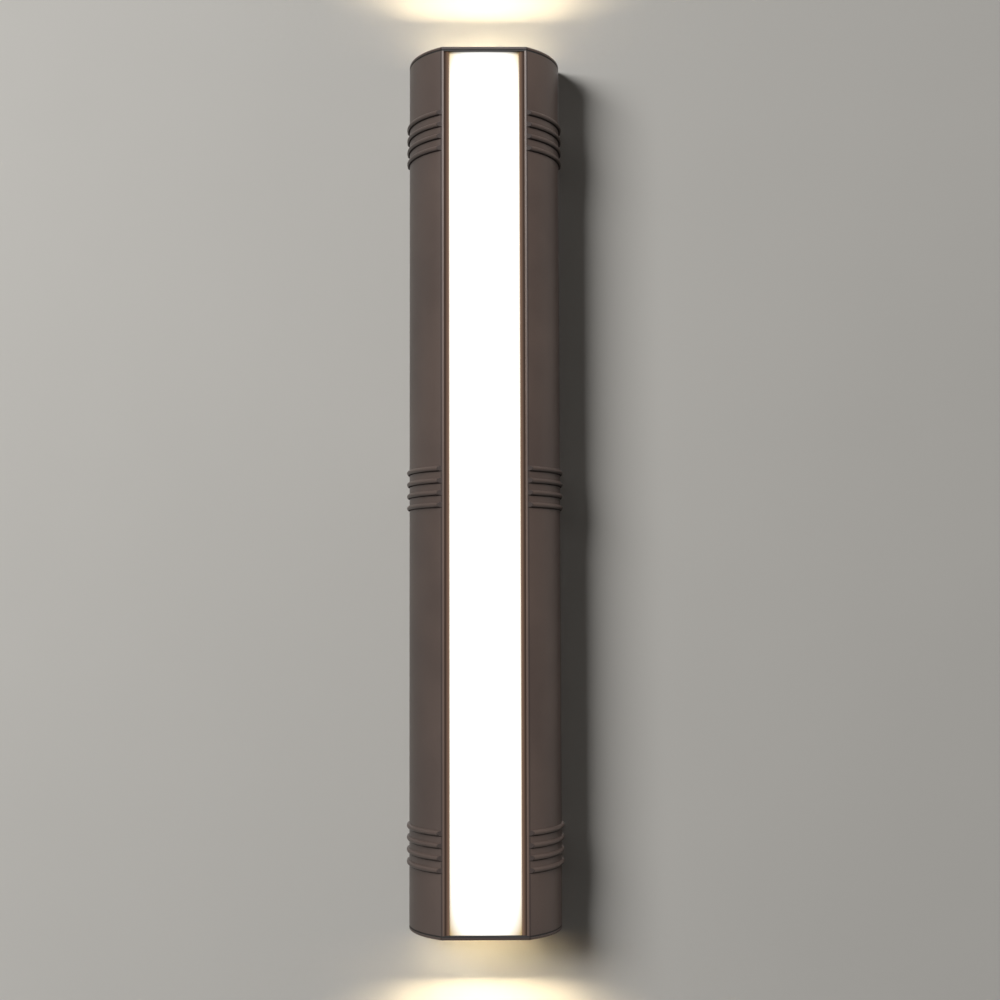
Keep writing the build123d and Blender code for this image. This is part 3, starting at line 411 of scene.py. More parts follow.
def cap_solid(side):
    """End cap: a plate whose outer edge is a quarter round, with the window and countersunk-edged
    counterbores as stacks of loops. Side 1 is the top, and -1 the bottom."""
    inner_z = TOP_Z - CAP_T
    turn = np.linspace(0, np.pi / 2, CAP_EDGE_STEPS)
    edge = [
        level(cap_outline(CAP_EDGE_R * (1 - np.sin(t))), TOP_Z - CAP_EDGE_R * (1 - np.cos(t)))
        for t in turn
    ]
    outline = np.stack([*edge, level(cap_outline(0), inner_z)])
    window_steps = ((WINDOW_EASE, TOP_Z), (0, TOP_Z - WINDOW_EASE), (0, inner_z))
    window = np.stack([level(window_outline(ease), z, (0, WINDOW_Y)) for ease, z in window_steps])
    floor_z = TOP_Z - COUNTERBORE_DEPTH
    steps = (
        (COUNTERBORE_R + HOLE_EASE, TOP_Z),
        (COUNTERBORE_R, TOP_Z - HOLE_EASE),
        (COUNTERBORE_R, floor_z),
        (CAP_HOLE_R, floor_z),
        (CAP_HOLE_R, inner_z),
    )
    bores = [
        np.stack([level(circle(radius), z, point) for radius, z in steps])
        for point in [*PORTS, LOCK_POINT]
    ]
    points, faces = holed_solid(outline, [window, *bores])
    return points * (1, 1, side), faces


def screw_solid(size, seat, right, up):
    """Round-headed screw with a hexagon socket: loops from the socket's floor over the rounded head
    and down the shank. The head stands on the seat, along up."""
    head_r, head_h, shank_r, shank_l = size
    ease = head_h * HEAD_EASE_SHARE
    socket_r = head_r * SOCKET_SHARE
    turn = np.linspace(0, np.pi / 2, HEAD_STEPS)
    chain = [
        (hexagon(socket_r), head_h * (1 - SOCKET_DEPTH_SHARE)),
        (hexagon(socket_r), head_h - ease / 3),
        (circle(socket_r * SOCKET_RIM_SHARE), head_h),
        *[(circle(head_r - ease * (1 - np.sin(t))), head_h - ease * (1 - np.cos(t))) for t in turn],
        (circle(head_r), 0.0),
        (circle(shank_r), 0.0),
        (circle(shank_r), -shank_l * TIP_START_SHARE),
        (circle(shank_r * TIP_R_SHARE), -shank_l),
    ]
    up = np.asarray(up, float)
    right = np.asarray(right, float)
    ahead = np.cross(up, right)
    loops = np.stack(
        [
            np.asarray(seat) + loop[:, :1] * right + loop[:, 1:] * ahead + height * up
            for loop, height in chain
        ]
    )
    return turned_solid(loops)


# ======================= Shader helpers =======================
class Nodes:
    """A node tree with short words for placing, linking and setting nodes."""

    def __init__(self, tree):
        self.tree = tree

    def add(self, kind, **values):
        """A node of this kind; a value whose name is a socket's feeds it or sets it, others are settings."""
        node = self.tree.nodes.new(kind)
        for name, value in values.items():
            if hasattr(type(node), name) or name in node.bl_rna.properties:
                setattr(node, name, value)
        for name, value in values.items():
            socket = node.inputs.get(name.replace("_", " "))
            if socket is not None:
                self.feed(socket, value)
        return node

    def feed(self, socket, value):
        """Links an output to a socket, or sets its value."""
        if isinstance(value, bpy.types.NodeSocket):
            self.tree.links.new(value, socket)
        else:
            socket.default_value = value

    def math(self, operation, *values, clamp=False):
        """A Math node's result."""
        node = self.tree.nodes.new("ShaderNodeMath")
        node.operation = operation
        node.use_clamp = clamp
        for socket, value in zip(node.inputs, values):
            self.feed(socket, value)
        return node.outputs[0]

    def below(self, value, limit):
        """Mask: 1 where a value is under a limit, else 0."""
        return self.math("LESS_THAN", value, limit)

    def above(self, value, limit):
        """Mask: 1 where a value is over a limit, else 0."""
        return self.math("GREATER_THAN", value, limit)

    def product(self, first, *others):
        """All the values multiplied, so masks hold only where they overlap."""
        for other in others:
            first = self.math("MULTIPLY", first, other)
        return first

    def greatest(self, first, *others):
        """The greatest of several values."""
        for other in others:
            first = self.math("MAXIMUM", first, other)
        return first

    def blend(self, share, first, second):
        """Colour between two others, by a share from 0 to 1."""
        node = self.tree.nodes.new("ShaderNodeMix")
        node.data_type = "RGBA"
        self.feed(node.inputs["Factor"], share)
        self.feed(node.inputs[6], first)
        self.feed(node.inputs[7], second)
        return node.outputs[2]

    def remap(self, value, low, high, to_low=0.0, to_high=1.0):
        """A value carried smoothly from one range to another."""
        node = self.tree.nodes.new("ShaderNodeMapRange")
        node.interpolation_type = "SMOOTHSTEP"
        for socket, given in zip(node.inputs, (value, low, high, to_low, to_high)):
            self.feed(socket, given)
        return node.outputs[0]

    def axes(self):
        """Object coordinates as three values, by the names X, Y and Z."""
        where = self.tree.nodes.new("ShaderNodeTexCoord").outputs["Object"]
        return self.add("ShaderNodeSeparateXYZ", Vector=where).outputs

    def place(self, stretch=(1.0, 1.0, 1.0)):
        """Object coordinates, scaled along each axis."""
        where = self.tree.nodes.new("ShaderNodeTexCoord")
        mapping = self.tree.nodes.new("ShaderNodeMapping")
        mapping.inputs["Scale"].default_value = stretch
        self.tree.links.new(where.outputs["Object"], mapping.inputs["Vector"])
        return mapping.outputs["Vector"]

    def noise(self, vector, scale, detail=3.0, roughness=0.55):
        """A noise texture's value."""
        node = self.tree.nodes.new("ShaderNodeTexNoise")
        given = {"Vector": vector, "Scale": scale, "Detail": detail, "Roughness": roughness}
        for name, value in given.items():
            self.feed(node.inputs[name], value)
        return node.outputs["Fac"]


def new_group(name, inputs, outputs):
    """Empty shader group with named sockets: pairs of name and socket type, and a default for inputs."""
    tree = bpy.data.node_groups.new(name, "ShaderNodeTree")
    for label, kind, default in inputs:
        socket = tree.interface.new_socket(label, in_out="INPUT", socket_type=kind)
        socket.default_value = default
    for label, kind in outputs:
        tree.interface.new_socket(label, in_out="OUTPUT", socket_type=kind)
    nodes = Nodes(tree)
    return nodes, tree.nodes.new("NodeGroupInput").outputs, tree.nodes.new("NodeGroupOutput").inputs


COLOUR, VALUE, VECTOR = "NodeSocketColor", "NodeSocketFloat", "NodeSocketVector"


def tone_drift_group():
    """Colour that wanders between two tones in broad clouds, with fine specks of the second."""
    nodes, given, made = new_group(
        "Tone drift",
        (
            ("Tone", COLOUR, (0.5, 0.5, 0.5, 1)),
            ("Other tone", COLOUR, (0.4, 0.4, 0.4, 1)),
            ("Cloud scale", VALUE, 20.0),
            ("Speck scale", VALUE, 900.0),
            ("Speck amount", VALUE, 0.3),
        ),
        (("Colour", COLOUR),),
    )
    place = nodes.place()
    cloud = nodes.remap(nodes.noise(place, given["Cloud scale"]), 0.3, 0.7)
    speck = nodes.remap(nodes.noise(place, given["Speck scale"], 2.0), 0.52, 0.68)
    share = nodes.math("MULTIPLY_ADD", speck, given["Speck amount"], cloud, clamp=True)
    nodes.feed(made["Colour"], nodes.blend(share, given["Tone"], given["Other tone"]))
    return nodes.tree


def grain_group():
    """Height of a fine grain on a broader, softer unevenness."""
    nodes, given, made = new_group(
        "Grain",
        (
            ("Fine scale", VALUE, 1500.0),
            ("Broad scale", VALUE, 180.0),
            ("Broad share", VALUE, 0.4),
            ("Stretch", VECTOR, (1.0, 1.0, 1.0)),
        ),
        (("Height", VALUE),),
    )
    where = nodes.tree.nodes.new("ShaderNodeTexCoord").outputs["Object"]
    stretched = nodes.tree.nodes.new("ShaderNodeVectorMath")
    stretched.operation = "MULTIPLY"
    nodes.feed(stretched.inputs[0], where)
    nodes.feed(stretched.inputs[1], given["Stretch"])
    fine = nodes.noise(stretched.outputs[0], given["Fine scale"], 2.0)
    broad = nodes.noise(stretched.outputs[0], given["Broad scale"], 2.0)
    nodes.feed(made["Height"], nodes.math("MULTIPLY_ADD", broad, given["Broad share"], fine))
    return nodes.tree


def handling_group():
    """Roughness that varies a little in smudges and streaks, about a middle value."""
    nodes, given, made = new_group(
        "Handling",
        (("Roughness", VALUE, 0.5), ("Spread", VALUE, 0.1), ("Smudge scale", VALUE, 35.0)),
        (("Roughness", VALUE),),
    )
    smudge = nodes.noise(nodes.place(), given["Smudge scale"], 4.0, 0.6)
    centred = nodes.math("SUBTRACT", smudge, 0.5)
    spread = nodes.math("MULTIPLY", centred, nodes.math("MULTIPLY", given["Spread"], 2.0))
    nodes.feed(made["Roughness"], nodes.math("ADD", given["Roughness"], spread, clamp=True))
    return nodes.tree


GROUPS = {}
BLACK = (0.0, 0.0, 0.0, 1.0)


def use_group(nodes, make, **values):
    """Places a shared group in a material, made on its first use, with this material's values."""
    if make.__name__ not in GROUPS:
        GROUPS[make.__name__] = make()
    node = nodes.tree.nodes.new("ShaderNodeGroup")
    node.node_tree = GROUPS[make.__name__]
    for name, value in values.items():
        nodes.feed(node.inputs[name.replace("_", " ")], value)
    return node.outputs[0]


def opaque(colour):
    """A colour with full alpha."""
    return (*colour, 1.0)


def new_material(name):
    """Empty material with its Principled shader: returns the material, its nodes and the shader."""
    material = bpy.data.materials.new("finish_" + name)
    material.use_nodes = True
    shader = material.node_tree.nodes["Principled BSDF"]
    return material, Nodes(material.node_tree), shader


def bump(nodes, shader, height, depth_mm):
    """Feeds a height of this depth to the shader's Normal."""
    node = nodes.tree.nodes.new("ShaderNodeBump")
    node.inputs["Strength"].default_value = 1.0
    node.inputs["Distance"].default_value = depth_mm * MM
    nodes.feed(node.inputs["Height"], height)
    nodes.feed(shader.inputs["Normal"], node.outputs["Normal"])


def let_through(nodes, shader, share):
    """Makes a share of the surface clear, for the rays that the share names."""
    mix = nodes.tree.nodes.new("ShaderNodeMixShader")
    clear = nodes.tree.nodes.new("ShaderNodeBsdfTransparent")
    nodes.feed(mix.inputs[0], share)
    nodes.feed(mix.inputs[1], shader.outputs[0])
    nodes.feed(mix.inputs[2], clear.outputs[0])
    nodes.feed(nodes.tree.nodes["Material Output"].inputs["Surface"], mix.outputs[0])


def coated(name, tone, other, rough, spread=0.06, metallic=0.0, cloud=20.0, speck=900.0,
           speck_amount=0.3, fine=1500.0, broad=180.0, broad_share=0.4, stretch=(1.0, 1.0, 1.0),
           depth_mm=0.02):
    """Common finish: a drifting tone, a fine grain and handled roughness."""
    material, nodes, shader = new_material(name)
    colour = use_group(
        nodes, tone_drift_group, Tone=opaque(tone), Other_tone=opaque(other),
        Cloud_scale=cloud, Speck_scale=speck, Speck_amount=speck_amount,
    )
    nodes.feed(shader.inputs["Base Color"], colour)
    nodes.feed(
        shader.inputs["Roughness"],
        use_group(nodes, handling_group, Roughness=rough, Spread=spread),
    )
    shader.inputs["Metallic"].default_value = metallic
    grain = use_group(
        nodes, grain_group, Fine_scale=fine, Broad_scale=broad, Broad_share=broad_share, Stretch=stretch
    )
    bump(nodes, shader, grain, depth_mm)
    return material, nodes, shader


# ======================= Finishes =======================
def bead_shadow_lines(nodes, across, y, z):
    """Painted shadow line under each bead. The height is counted in steps of the beads' pitch from the
    lower edge of a group's lowest bead, so a line lies where the count is a whole number. It shows only on
    the outside, where the square root of x squared plus y from the axis squared reaches the tube's radius."""
    group_z = nodes.math("SNAP", nodes.math("ADD", z, BEAD_GROUP_Z / 2), BEAD_GROUP_Z)
    from_middle = nodes.math("DIVIDE", nodes.math("SUBTRACT", z, group_z), BEAD_PITCH)
    count = nodes.math("ADD", from_middle, BEAD_RISE / BEAD_PITCH + (BEADS_PER_GROUP - 1) / 2)
    off_line = nodes.math("ABSOLUTE", nodes.math("SUBTRACT", count, nodes.math("ROUND", count)))
    line = nodes.remap(off_line, CREASE_CORE / BEAD_PITCH, CREASE_EDGE / BEAD_PITCH, 1.0, 0.0)
    in_group = nodes.below(nodes.math("ABSOLUTE", from_middle), BEADS_PER_GROUP / 2)
    back = nodes.math("SUBTRACT", y, AXIS_Y)
    squares = nodes.math("MULTIPLY_ADD", back, back, nodes.product(across, across))
    outside = nodes.above(nodes.math("SQRT", squares), TUBE_R - SKIN / 2)
    return nodes.product(line, in_group, outside)


def body_paint():
    """Matt bronze powder coat: a fine orange peel with faint metallic specks. The diffuser's light on the
    bevels
    and the lips is painted as a warm glow: the glow is the greater of their two shares. Painted shade
    darkens the coat there, in the creases under the beads, on the beads' ends and on the caps' front edges,
    where the
    coat is also duller: the shade is the greatest of these shares, and the roughness is never under it."""
    look = bpy.context.scene.wall_light_finish
    material, nodes, shader = coated(
        "body_paint", look.body_colour, look.body_speck, 0.4, spread=0.06, cloud=14.0,
        speck=1600.0, speck_amount=0.35, fine=1900.0, broad=420.0, broad_share=0.8, depth_mm=0.02,
    )
    axes = nodes.axes()
    y = axes["Y"]
    across = nodes.math("ABSOLUTE", axes["X"])
    past_opening = nodes.math("SUBTRACT", across, OPENING_HALF_W)
    past_lip = nodes.math("SUBTRACT", across, CORNER_X - LIP_W)
    housing = nodes.below(nodes.math("ABSOLUTE", axes["Z"]), BODY_TOP_Z + MM / 2)
    bevel = nodes.product(nodes.below(y, SLOT_FRONT_Y - MM / 2), nodes.below(past_lip, SKIN), housing)
    lip = nodes.product(nodes.below(y, STEP_Y - LIP_EASE / 2), housing)
    bead_end = nodes.product(
        nodes.below(y, FRONT_Y + 2 * BEAD_SETBACK), nodes.above(past_lip, LIP_W + SKIN)
    )
    cap_front = nodes.product(
        nodes.below(y, FRONT_Y + 2 * CAP_EDGE_R), nodes.math("SUBTRACT", 1.0, housing)
    )
    # Painted light: a warm glow on the bevels and the lips' inner edges stands in for the diffuser's light
    # on them.
    spill = nodes.greatest(
        nodes.product(nodes.remap(past_opening, 0.0, SPILL_REACH, 1.0, SPILL_END_SHARE), bevel),
        nodes.product(nodes.remap(past_lip, LIP_W / 2, LIP_W, LIP_SPILL, 0.0), lip),
    )
    # Painted shade: the coat is blended towards near black under the beads, on the bevels, lips, beads' ends
    # and caps' front edges.
    shade = nodes.greatest(
        bead_shadow_lines(nodes, across, y, axes["Z"]),
        bevel,
        nodes.product(lip, LIP_SHADE),
        nodes.product(bead_end, BEAD_END_SHADE),
        nodes.product(cap_front, CAP_FRONT_SHADE),
    )
    rough, coat = shader.inputs["Roughness"], shader.inputs["Base Color"]
    nodes.feed(rough, nodes.greatest(rough.links[0].from_socket, shade))
    nodes.feed(coat, nodes.blend(shade, coat.links[0].from_socket, opaque(SHADE_COLOUR)))
    glow = nodes.blend(spill, BLACK, opaque(look.spill_colour))
    nodes.feed(shader.inputs["Emission Color"], glow)
    shader.inputs["Emission Strength"].default_value = 1.0
    return material


def opal_diffuser():
    """Lit opal plastic: white over the lamps. Towards the sides, and more deeply at the corners, its glow
    turns dimmer and warmer, and its colour is darkened to match as painted shade. That share is a depth
    times the exponential of minus the distance from the side over a width, and both grow near the ends with
    the exponential of minus the distance from the end."""
    look = bpy.context.scene.wall_light_finish
    material, nodes, shader = new_material("opal_diffuser")
    top_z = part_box("front_diffuser")[1].z
    axes = nodes.axes()
    side = nodes.math("SUBTRACT", nodes.math("ABSOLUTE", axes["X"]), OPENING_HALF_W)
    end = nodes.math("SUBTRACT", nodes.math("ABSOLUTE", axes["Z"]), top_z)
    near_end = nodes.math("EXPONENT", nodes.math("DIVIDE", end, EDGE_DIM_END_REACH))
    depth = nodes.math("MULTIPLY_ADD", near_end, EDGE_DIM_CORNER_SHARE, EDGE_DIM_SIDE_SHARE)
    width = nodes.math("MULTIPLY_ADD", near_end, EDGE_DIM_CORNER_REACH, EDGE_DIM_SIDE_REACH)
    fall = nodes.math("EXPONENT", nodes.math("DIVIDE", side, width))
    drift = nodes.remap(nodes.noise(nodes.place(), 30.0), 0.2, 0.8, -0.02, 0.02)
    edge_dim = nodes.math("MULTIPLY_ADD", depth, fall, drift, clamp=True)
    # The lamp's glow dims towards the edges, and the base colour is darkened there as painted shade.
    lit = nodes.blend(edge_dim, opaque(look.glow_colour), opaque(look.glow_edge))
    nodes.feed(shader.inputs["Emission Color"], lit)
    shader.inputs["Emission Strength"].default_value = look.glow_strength
    nodes.feed(shader.inputs["Base Color"], nodes.blend(edge_dim, opaque(OPAL_MIDDLE), opaque(OPAL_SHADED_EDGE)))
    nodes.feed(shader.inputs["Roughness"], use_group(nodes, handling_group, Roughness=0.42, Spread=0.06))
    grain = use_group(nodes, grain_group, Fine_scale=2500.0, Broad_scale=300.0)
    bump(nodes, shader, grain, 0.01)
    return material


def window_glass():
    """Clear glass with a faint grey drift and a trace of dust, which lets the chips' light through."""
    material, nodes, shader = new_material("window_glass")
    colour = use_group(
        nodes, tone_drift_group, Tone=(0.95, 0.97, 0.96, 1), Other_tone=(0.9, 0.92, 0.91, 1)
    )
    nodes.feed(shader.inputs["Base Color"], colour)
    shader.inputs["Transmission Weight"].default_value = 1.0
    shader.inputs["IOR"].default_value = 1.5
    nodes.feed(
        shader.inputs["Roughness"],
        use_group(nodes, handling_group, Roughness=0.12, Spread=0.06, Smudge_scale=120.0),
    )
    let_through(nodes, shader, nodes.tree.nodes.new("ShaderNodeLightPath").outputs["Is Shadow Ray"])
    return material


def black_rubber():
    """Matt black rubber with a moulded grain."""
    return coated("black_rubber", (0.018, 0.017, 0.016), (0.03, 0.028, 0.026), 0.72,
                  fine=1400.0, broad=240.0, depth_mm=0.03)[0]


def grey_foam():
    """Closed-cell foam: small pits between thin walls."""
    material, nodes, shader = coated("grey_foam", (0.14, 0.14, 0.145), (0.09, 0.09, 0.095), 0.9,
                                     cloud=40.0, speck=1200.0, speck_amount=0.6)
    cells = nodes.add("ShaderNodeTexVoronoi", Vector=nodes.place(), Scale=1400.0)
    bump(nodes, shader, cells.outputs["Distance"], 0.15)
    return material


def clear_seal():
    """Milky silicone with a soft sheen."""
    return coated("clear_seal", (0.55, 0.54, 0.5), (0.46, 0.45, 0.42), 0.45, depth_mm=0.01)[0]


def steel_screws():
    """Turned stainless steel with fine turning lines."""
    return coated("steel_screws", (0.62, 0.61, 0.6), (0.5, 0.49, 0.48), 0.3, metallic=1.0,
                  cloud=300.0, fine=4000.0, broad=900.0, depth_mm=0.006)[0]


def reflector_metal():
    """Bright reflector sheet with a painted glow, strongest at its foot by the chips, for the chips' light
    on it.
    """
    look = bpy.context.scene.wall_light_finish
    material, nodes, shader = coated("reflector_metal", (0.88, 0.87, 0.84), (0.8, 0.79, 0.76), 0.22,
                                     metallic=1.0, cloud=60.0, fine=900.0, depth_mm=0.01)
    # Painted light: emission fading from the foot to the rim stands in for the chips' light on the sheet.
    height = nodes.math("ABSOLUTE", nodes.axes()["Z"])
    near_chips = nodes.remap(height, REFLECTOR_FOOT_Z, REFLECTOR_RIM_Z, 1.0, REFLECTOR_RIM_GLOW)
    glow = nodes.blend(near_chips, BLACK, opaque(look.chip_glow))
    nodes.feed(shader.inputs["Emission Color"], glow)
    shader.inputs["Emission Strength"].default_value = 0.5
    return material


def board_white():
    """White solder mask over faint copper tracks."""
    material, nodes, shader = coated("board_white", (0.78, 0.78, 0.76), (0.72, 0.72, 0.7), 0.4,
                                     fine=1200.0, depth_mm=0.01)
    tracks = nodes.add("ShaderNodeTexBrick", Vector=nodes.place((1.0, 1.0, 0.3)), Scale=60.0)
    bump(nodes, shader, tracks.outputs["Fac"], 0.04)
    return material


def led_phosphor():
    """Lit chips: warm phosphor with brighter cells."""
    look = bpy.context.scene.wall_light_finish
    material, nodes, shader = coated("led_phosphor", (0.86, 0.78, 0.4), (0.8, 0.7, 0.34), 0.5)
    cells = nodes.remap(nodes.noise(nodes.place(), 400.0), 0.3, 0.7)
    lit = nodes.blend(cells, opaque(look.chip_glow), opaque(look.glow_colour))
    nodes.feed(shader.inputs["Emission Color"], lit)
    shader.inputs["Emission Strength"].default_value = 4.0
    return material


def bare_aluminium():
    """Mill-finished aluminium with rolling lines along its length."""
    return coated("bare_aluminium", (0.66, 0.66, 0.67), (0.56, 0.56, 0.57), 0.34, metallic=1.0,
                  cloud=50.0, fine=900.0, stretch=(1.0, 1.0, 0.06), depth_mm=0.015)[0]


def tray_paint():
    """White reflective coat on the light tray."""
    return coated("tray_paint", (0.8, 0.8, 0.79), (0.74, 0.74, 0.73), 0.45, fine=900.0, depth_mm=0.015)[0]


def driver_plastic():
    """White spark-eroded plastic."""
    return coated("driver_plastic", (0.7, 0.7, 0.68), (0.62, 0.62, 0.6), 0.5, fine=800.0,
                  broad=220.0, depth_mm=0.04)[0]


def terminal_plastic():
    """Grey-white moulded plastic."""
    return coated("terminal_plastic", (0.5, 0.52, 0.54), (0.44, 0.46, 0.48), 0.42, depth_mm=0.02)[0]


def zinc_steel():
    """Zinc-coated sheet: flat crystals of slightly different greys, with rolling lines."""
    material, nodes, shader = coated("zinc_steel", (0.56, 0.57, 0.58), (0.42, 0.43, 0.45), 0.36,
                                     metallic=1.0, cloud=45.0, fine=700.0, stretch=(1.0, 1.0, 0.15),
                                     depth_mm=0.012)
    crystals = nodes.add("ShaderNodeTexVoronoi", Vector=nodes.place(), Scale=260.0)
    share = nodes.remap(crystals.outputs["Color"], 0.2, 0.8)
    tone = nodes.blend(share, (0.53, 0.54, 0.55, 1), (0.6, 0.61, 0.62, 1))
    nodes.feed(shader.inputs["Base Color"], tone)
    return material


def earth_brass():
    """Plated brass tag."""
    return coated("earth_brass", (0.72, 0.56, 0.3), (0.6, 0.46, 0.24), 0.3, metallic=1.0, depth_mm=0.008)[0]


def white_sheath():
    """White cable sheath with faint drawing lines."""
    return coated("white_sheath", (0.72, 0.71, 0.68), (0.64, 0.63, 0.6), 0.45, fine=600.0,
                  stretch=(1.0, 1.0, 0.2), depth_mm=0.02)[0]


def earth_sheath():
    """Green earth sheath with its yellow stripe."""
    material, nodes, shader = coated("earth_sheath", (0.03, 0.22, 0.06), (0.025, 0.18, 0.05), 0.45)
    turn = nodes.math("SINE", nodes.math("MULTIPLY", nodes.axes()["Z"], 900.0))
    stripe = nodes.remap(turn, 0.2, 0.35)
    nodes.feed(shader.inputs["Base Color"], nodes.blend(stripe, (0.03, 0.22, 0.06, 1), (0.7, 0.6, 0.04, 1)))
    return material


FINISH_MAKERS = (
    body_paint, opal_diffuser, window_glass, black_rubber, grey_foam, clear_seal, steel_screws,
    reflector_metal, board_white, led_phosphor, bare_aluminium, tray_paint, driver_plastic,
    terminal_plastic, zinc_steel, earth_brass, white_sheath, earth_sheath,
)
MADE = {}


def finish(maker):
    """The material of one finish, made once."""

    def fetch():
        if maker.__name__ not in MADE:
            MADE[maker.__name__] = maker()
        return MADE[maker.__name__]

    return fetch


FINISHES = {maker.__name__: finish(maker) for maker in FINISH_MAKERS}


# ======================= Settings =======================
def colour_setting(name, description, default):
    """A colour for the panel."""
    return bpy.props.FloatVectorProperty(
        name=name, description=description, default=default, subtype="COLOR", min=0.0, max=1.0
    )


def power_setting(name, description, default):
    """A light's power for the panel, in watts."""
    return bpy.props.FloatProperty(name=name, description=description, default=default, unit="POWER")


class WallLightFinish(bpy.types.PropertyGroup):
    """Colours and glow of the lamp."""

    body_colour: colour_setting("Body", "Powder coat of the housing and the caps", (0.108, 0.077, 0.064))
    body_speck: colour_setting("Body specks", "Second tone of the powder coat", (0.084, 0.060, 0.051))
    glow_colour: colour_setting("Glow", "Light of the diffuser's middle", (1.0, 1.0, 0.97))
    glow_edge: colour_setting(
        "Glow at the edges", "Light of the diffuser's edges and ends", (0.12, 0.09, 0.04)
    )
    # Colour of the chips' light, also used for the glow painted on the reflectors.
    chip_glow: colour_setting(
        "Glow of the chips", "Light of the LED chips and of the reflectors round them", (1.0, 0.8, 0.5)
    )
    # Painted light: colour of the glow painted on the bevels and lips beside the diffuser.
    spill_colour: colour_setting(
        "Glow beside the diffuser", "Light that the diffuser spills on the bevels", (0.18, 0.105, 0.065)
    )
    glow_strength: bpy.props.FloatProperty(
        name="Glow strength", description="Strength of the diffuser's light", default=0.9, min=0.0
    )


class WallLightStage(bpy.types.PropertyGroup):
    """Studio around the lamp."""

    wall_colour: colour_setting("Wall", "Colour of the backdrop", (0.64, 0.622, 0.582))
    floor_colour: colour_setting("Floor", "Colour of the floor", (0.74, 0.72, 0.70))
    floor_drop: bpy.props.FloatProperty(
        name="Floor below the lamp", description="From the lamp's lower end to the floor",
        default=0.32, unit="LENGTH", min=0.0,
    )
    key_power: power_setting("Key light", "Power of the large light on the left", 28.0)
    wash_power: power_setting("Wall light", "Power of the light for the wall and floor", 118.0)
    fill_power: power_setting("Fill light", "Power of the soft light in front", 125.0)
    chip_power: power_setting("Chip light", "Power of the light out of each window", 0.6)
    world_level: bpy.props.FloatProperty(
        name="World", description="Level of the light from all round", default=0.06, min=0.0
    )


# ======================= Operators =======================
class WALLLIGHT_OT_housing(bpy.types.Operator):
    """Housing with its flanks, lips, slots, web, screw ports and beads"""

    bl_idname = "wall_light.housing"
    bl_label = "Housing"

    def execute(self, context):
        put_mesh("housing", *housing_solid(), "body_paint", ["body_shell"])
        return {"FINISHED"}


class WALLLIGHT_OT_caps(bpy.types.Operator):
    """End caps with their windows and counterbores"""

    bl_idname = "wall_light.caps"
    bl_label = "End caps"

    def execute(self, context):
        for side, name in ((1, "top_end_cap"), (-1, "bottom_end_cap")):
            put_mesh("rounded_" + name, *cap_solid(side), "body_paint", [name])
        return {"FINISHED"}


class WALLLIGHT_OT_screws(bpy.types.Operator):
    """Screws of the caps and the lock screws"""

    bl_idname = "wall_light.screws"
    bl_label = "Screws"

    def execute(self, context):
        for side, end in ((1, "top"), (-1, "bottom")):
            seat_z = side * (TOP_Z - COUNTERBORE_DEPTH)
            for name, size, places in (
                ("cap_screws", CAP_SCREW, PORTS),
                ("lock_screw", LOCK_SCREW, [LOCK_POINT]),
            ):
                solids = [screw_solid(size, (x, y, seat_z), (1, 0, 0), (0, 0, side)) for x, y in places]
                put_mesh(f"round_{end}_{name}", *joined(solids), "steel_screws", [f"{end}_{name}"])
        return {"FINISHED"}


class WALLLIGHT_OT_finishes(bpy.types.Operator):
    """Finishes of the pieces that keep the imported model's shape"""

    bl_idname = "wall_light.finishes"
    bl_label = "Finishes"

    def execute(self, context):
        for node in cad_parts.values():
            slot = node.material_slots[0].material.name
            node.material_slots[0].material = FINISHES[slot]()
        return {"FINISHED"}


def stage_material(name, colour):
    """Soft plaster that only shows from its front, and that lets light through from behind."""
    material, nodes, shader = coated(name, colour, tuple(0.97 * c for c in colour), 0.85,
                                     cloud=3.0, speck=500.0, speck_amount=0.1, fine=700.0, depth_mm=0.03)
    path = nodes.tree.nodes.new("ShaderNodeLightPath").outputs
    seen = nodes.greatest(path["Is Camera Ray"], path["Is Glossy Ray"])
    back = nodes.tree.nodes.new("ShaderNodeNewGeometry").outputs["Backfacing"]
    shown = nodes.math("MULTIPLY", seen, nodes.math("SUBTRACT", 1.0, back))
    let_through(nodes, shader, nodes.math("SUBTRACT", 1.0, shown))
    return material


def stage_plane(name, corners, material):
    """Flat rectangle of the studio."""
    mesh = bpy.data.meshes.new(name)
    mesh.from_pydata(corners, [], [(0, 1, 2, 3)])
    mesh.materials.append(material)
    plane = bpy.data.objects.new(name, mesh)
    bpy.context.scene.collection.objects.link(plane)
    return plane


def area_light(name, place, turn, width, depth, power, colour=(1.0, 1.0, 1.0)):
    """Rectangular soft light, which shines down its own Z."""
    lamp = bpy.data.lights.new(name, "AREA")
    lamp.shape = "RECTANGLE"
    lamp.size = width
    lamp.size_y = depth
    lamp.energy = power
    lamp.color = colour
    light = bpy.data.objects.new(name, lamp)
    light.location = place
    light.rotation_euler = turn
    bpy.context.scene.collection.objects.link(light)
    return light


def studio_light(name, place, size, power, planes=(), state="INCLUDE"):
    """Square soft light that looks at the lamp. Given planes, it lights these alone, or all but these."""
    turn = (-Vector(place)).to_track_quat("-Z", "Y").to_euler()
    light = area_light(name, place, turn, size, size, power)
    if planes:
        lit = bpy.data.collections.new(name + "_lights")
        for plane in planes:
            lit.objects.link(plane)
        for member in lit.collection_objects:
            member.light_linking.link_state = state
        light.light_linking.receiver_collection = lit


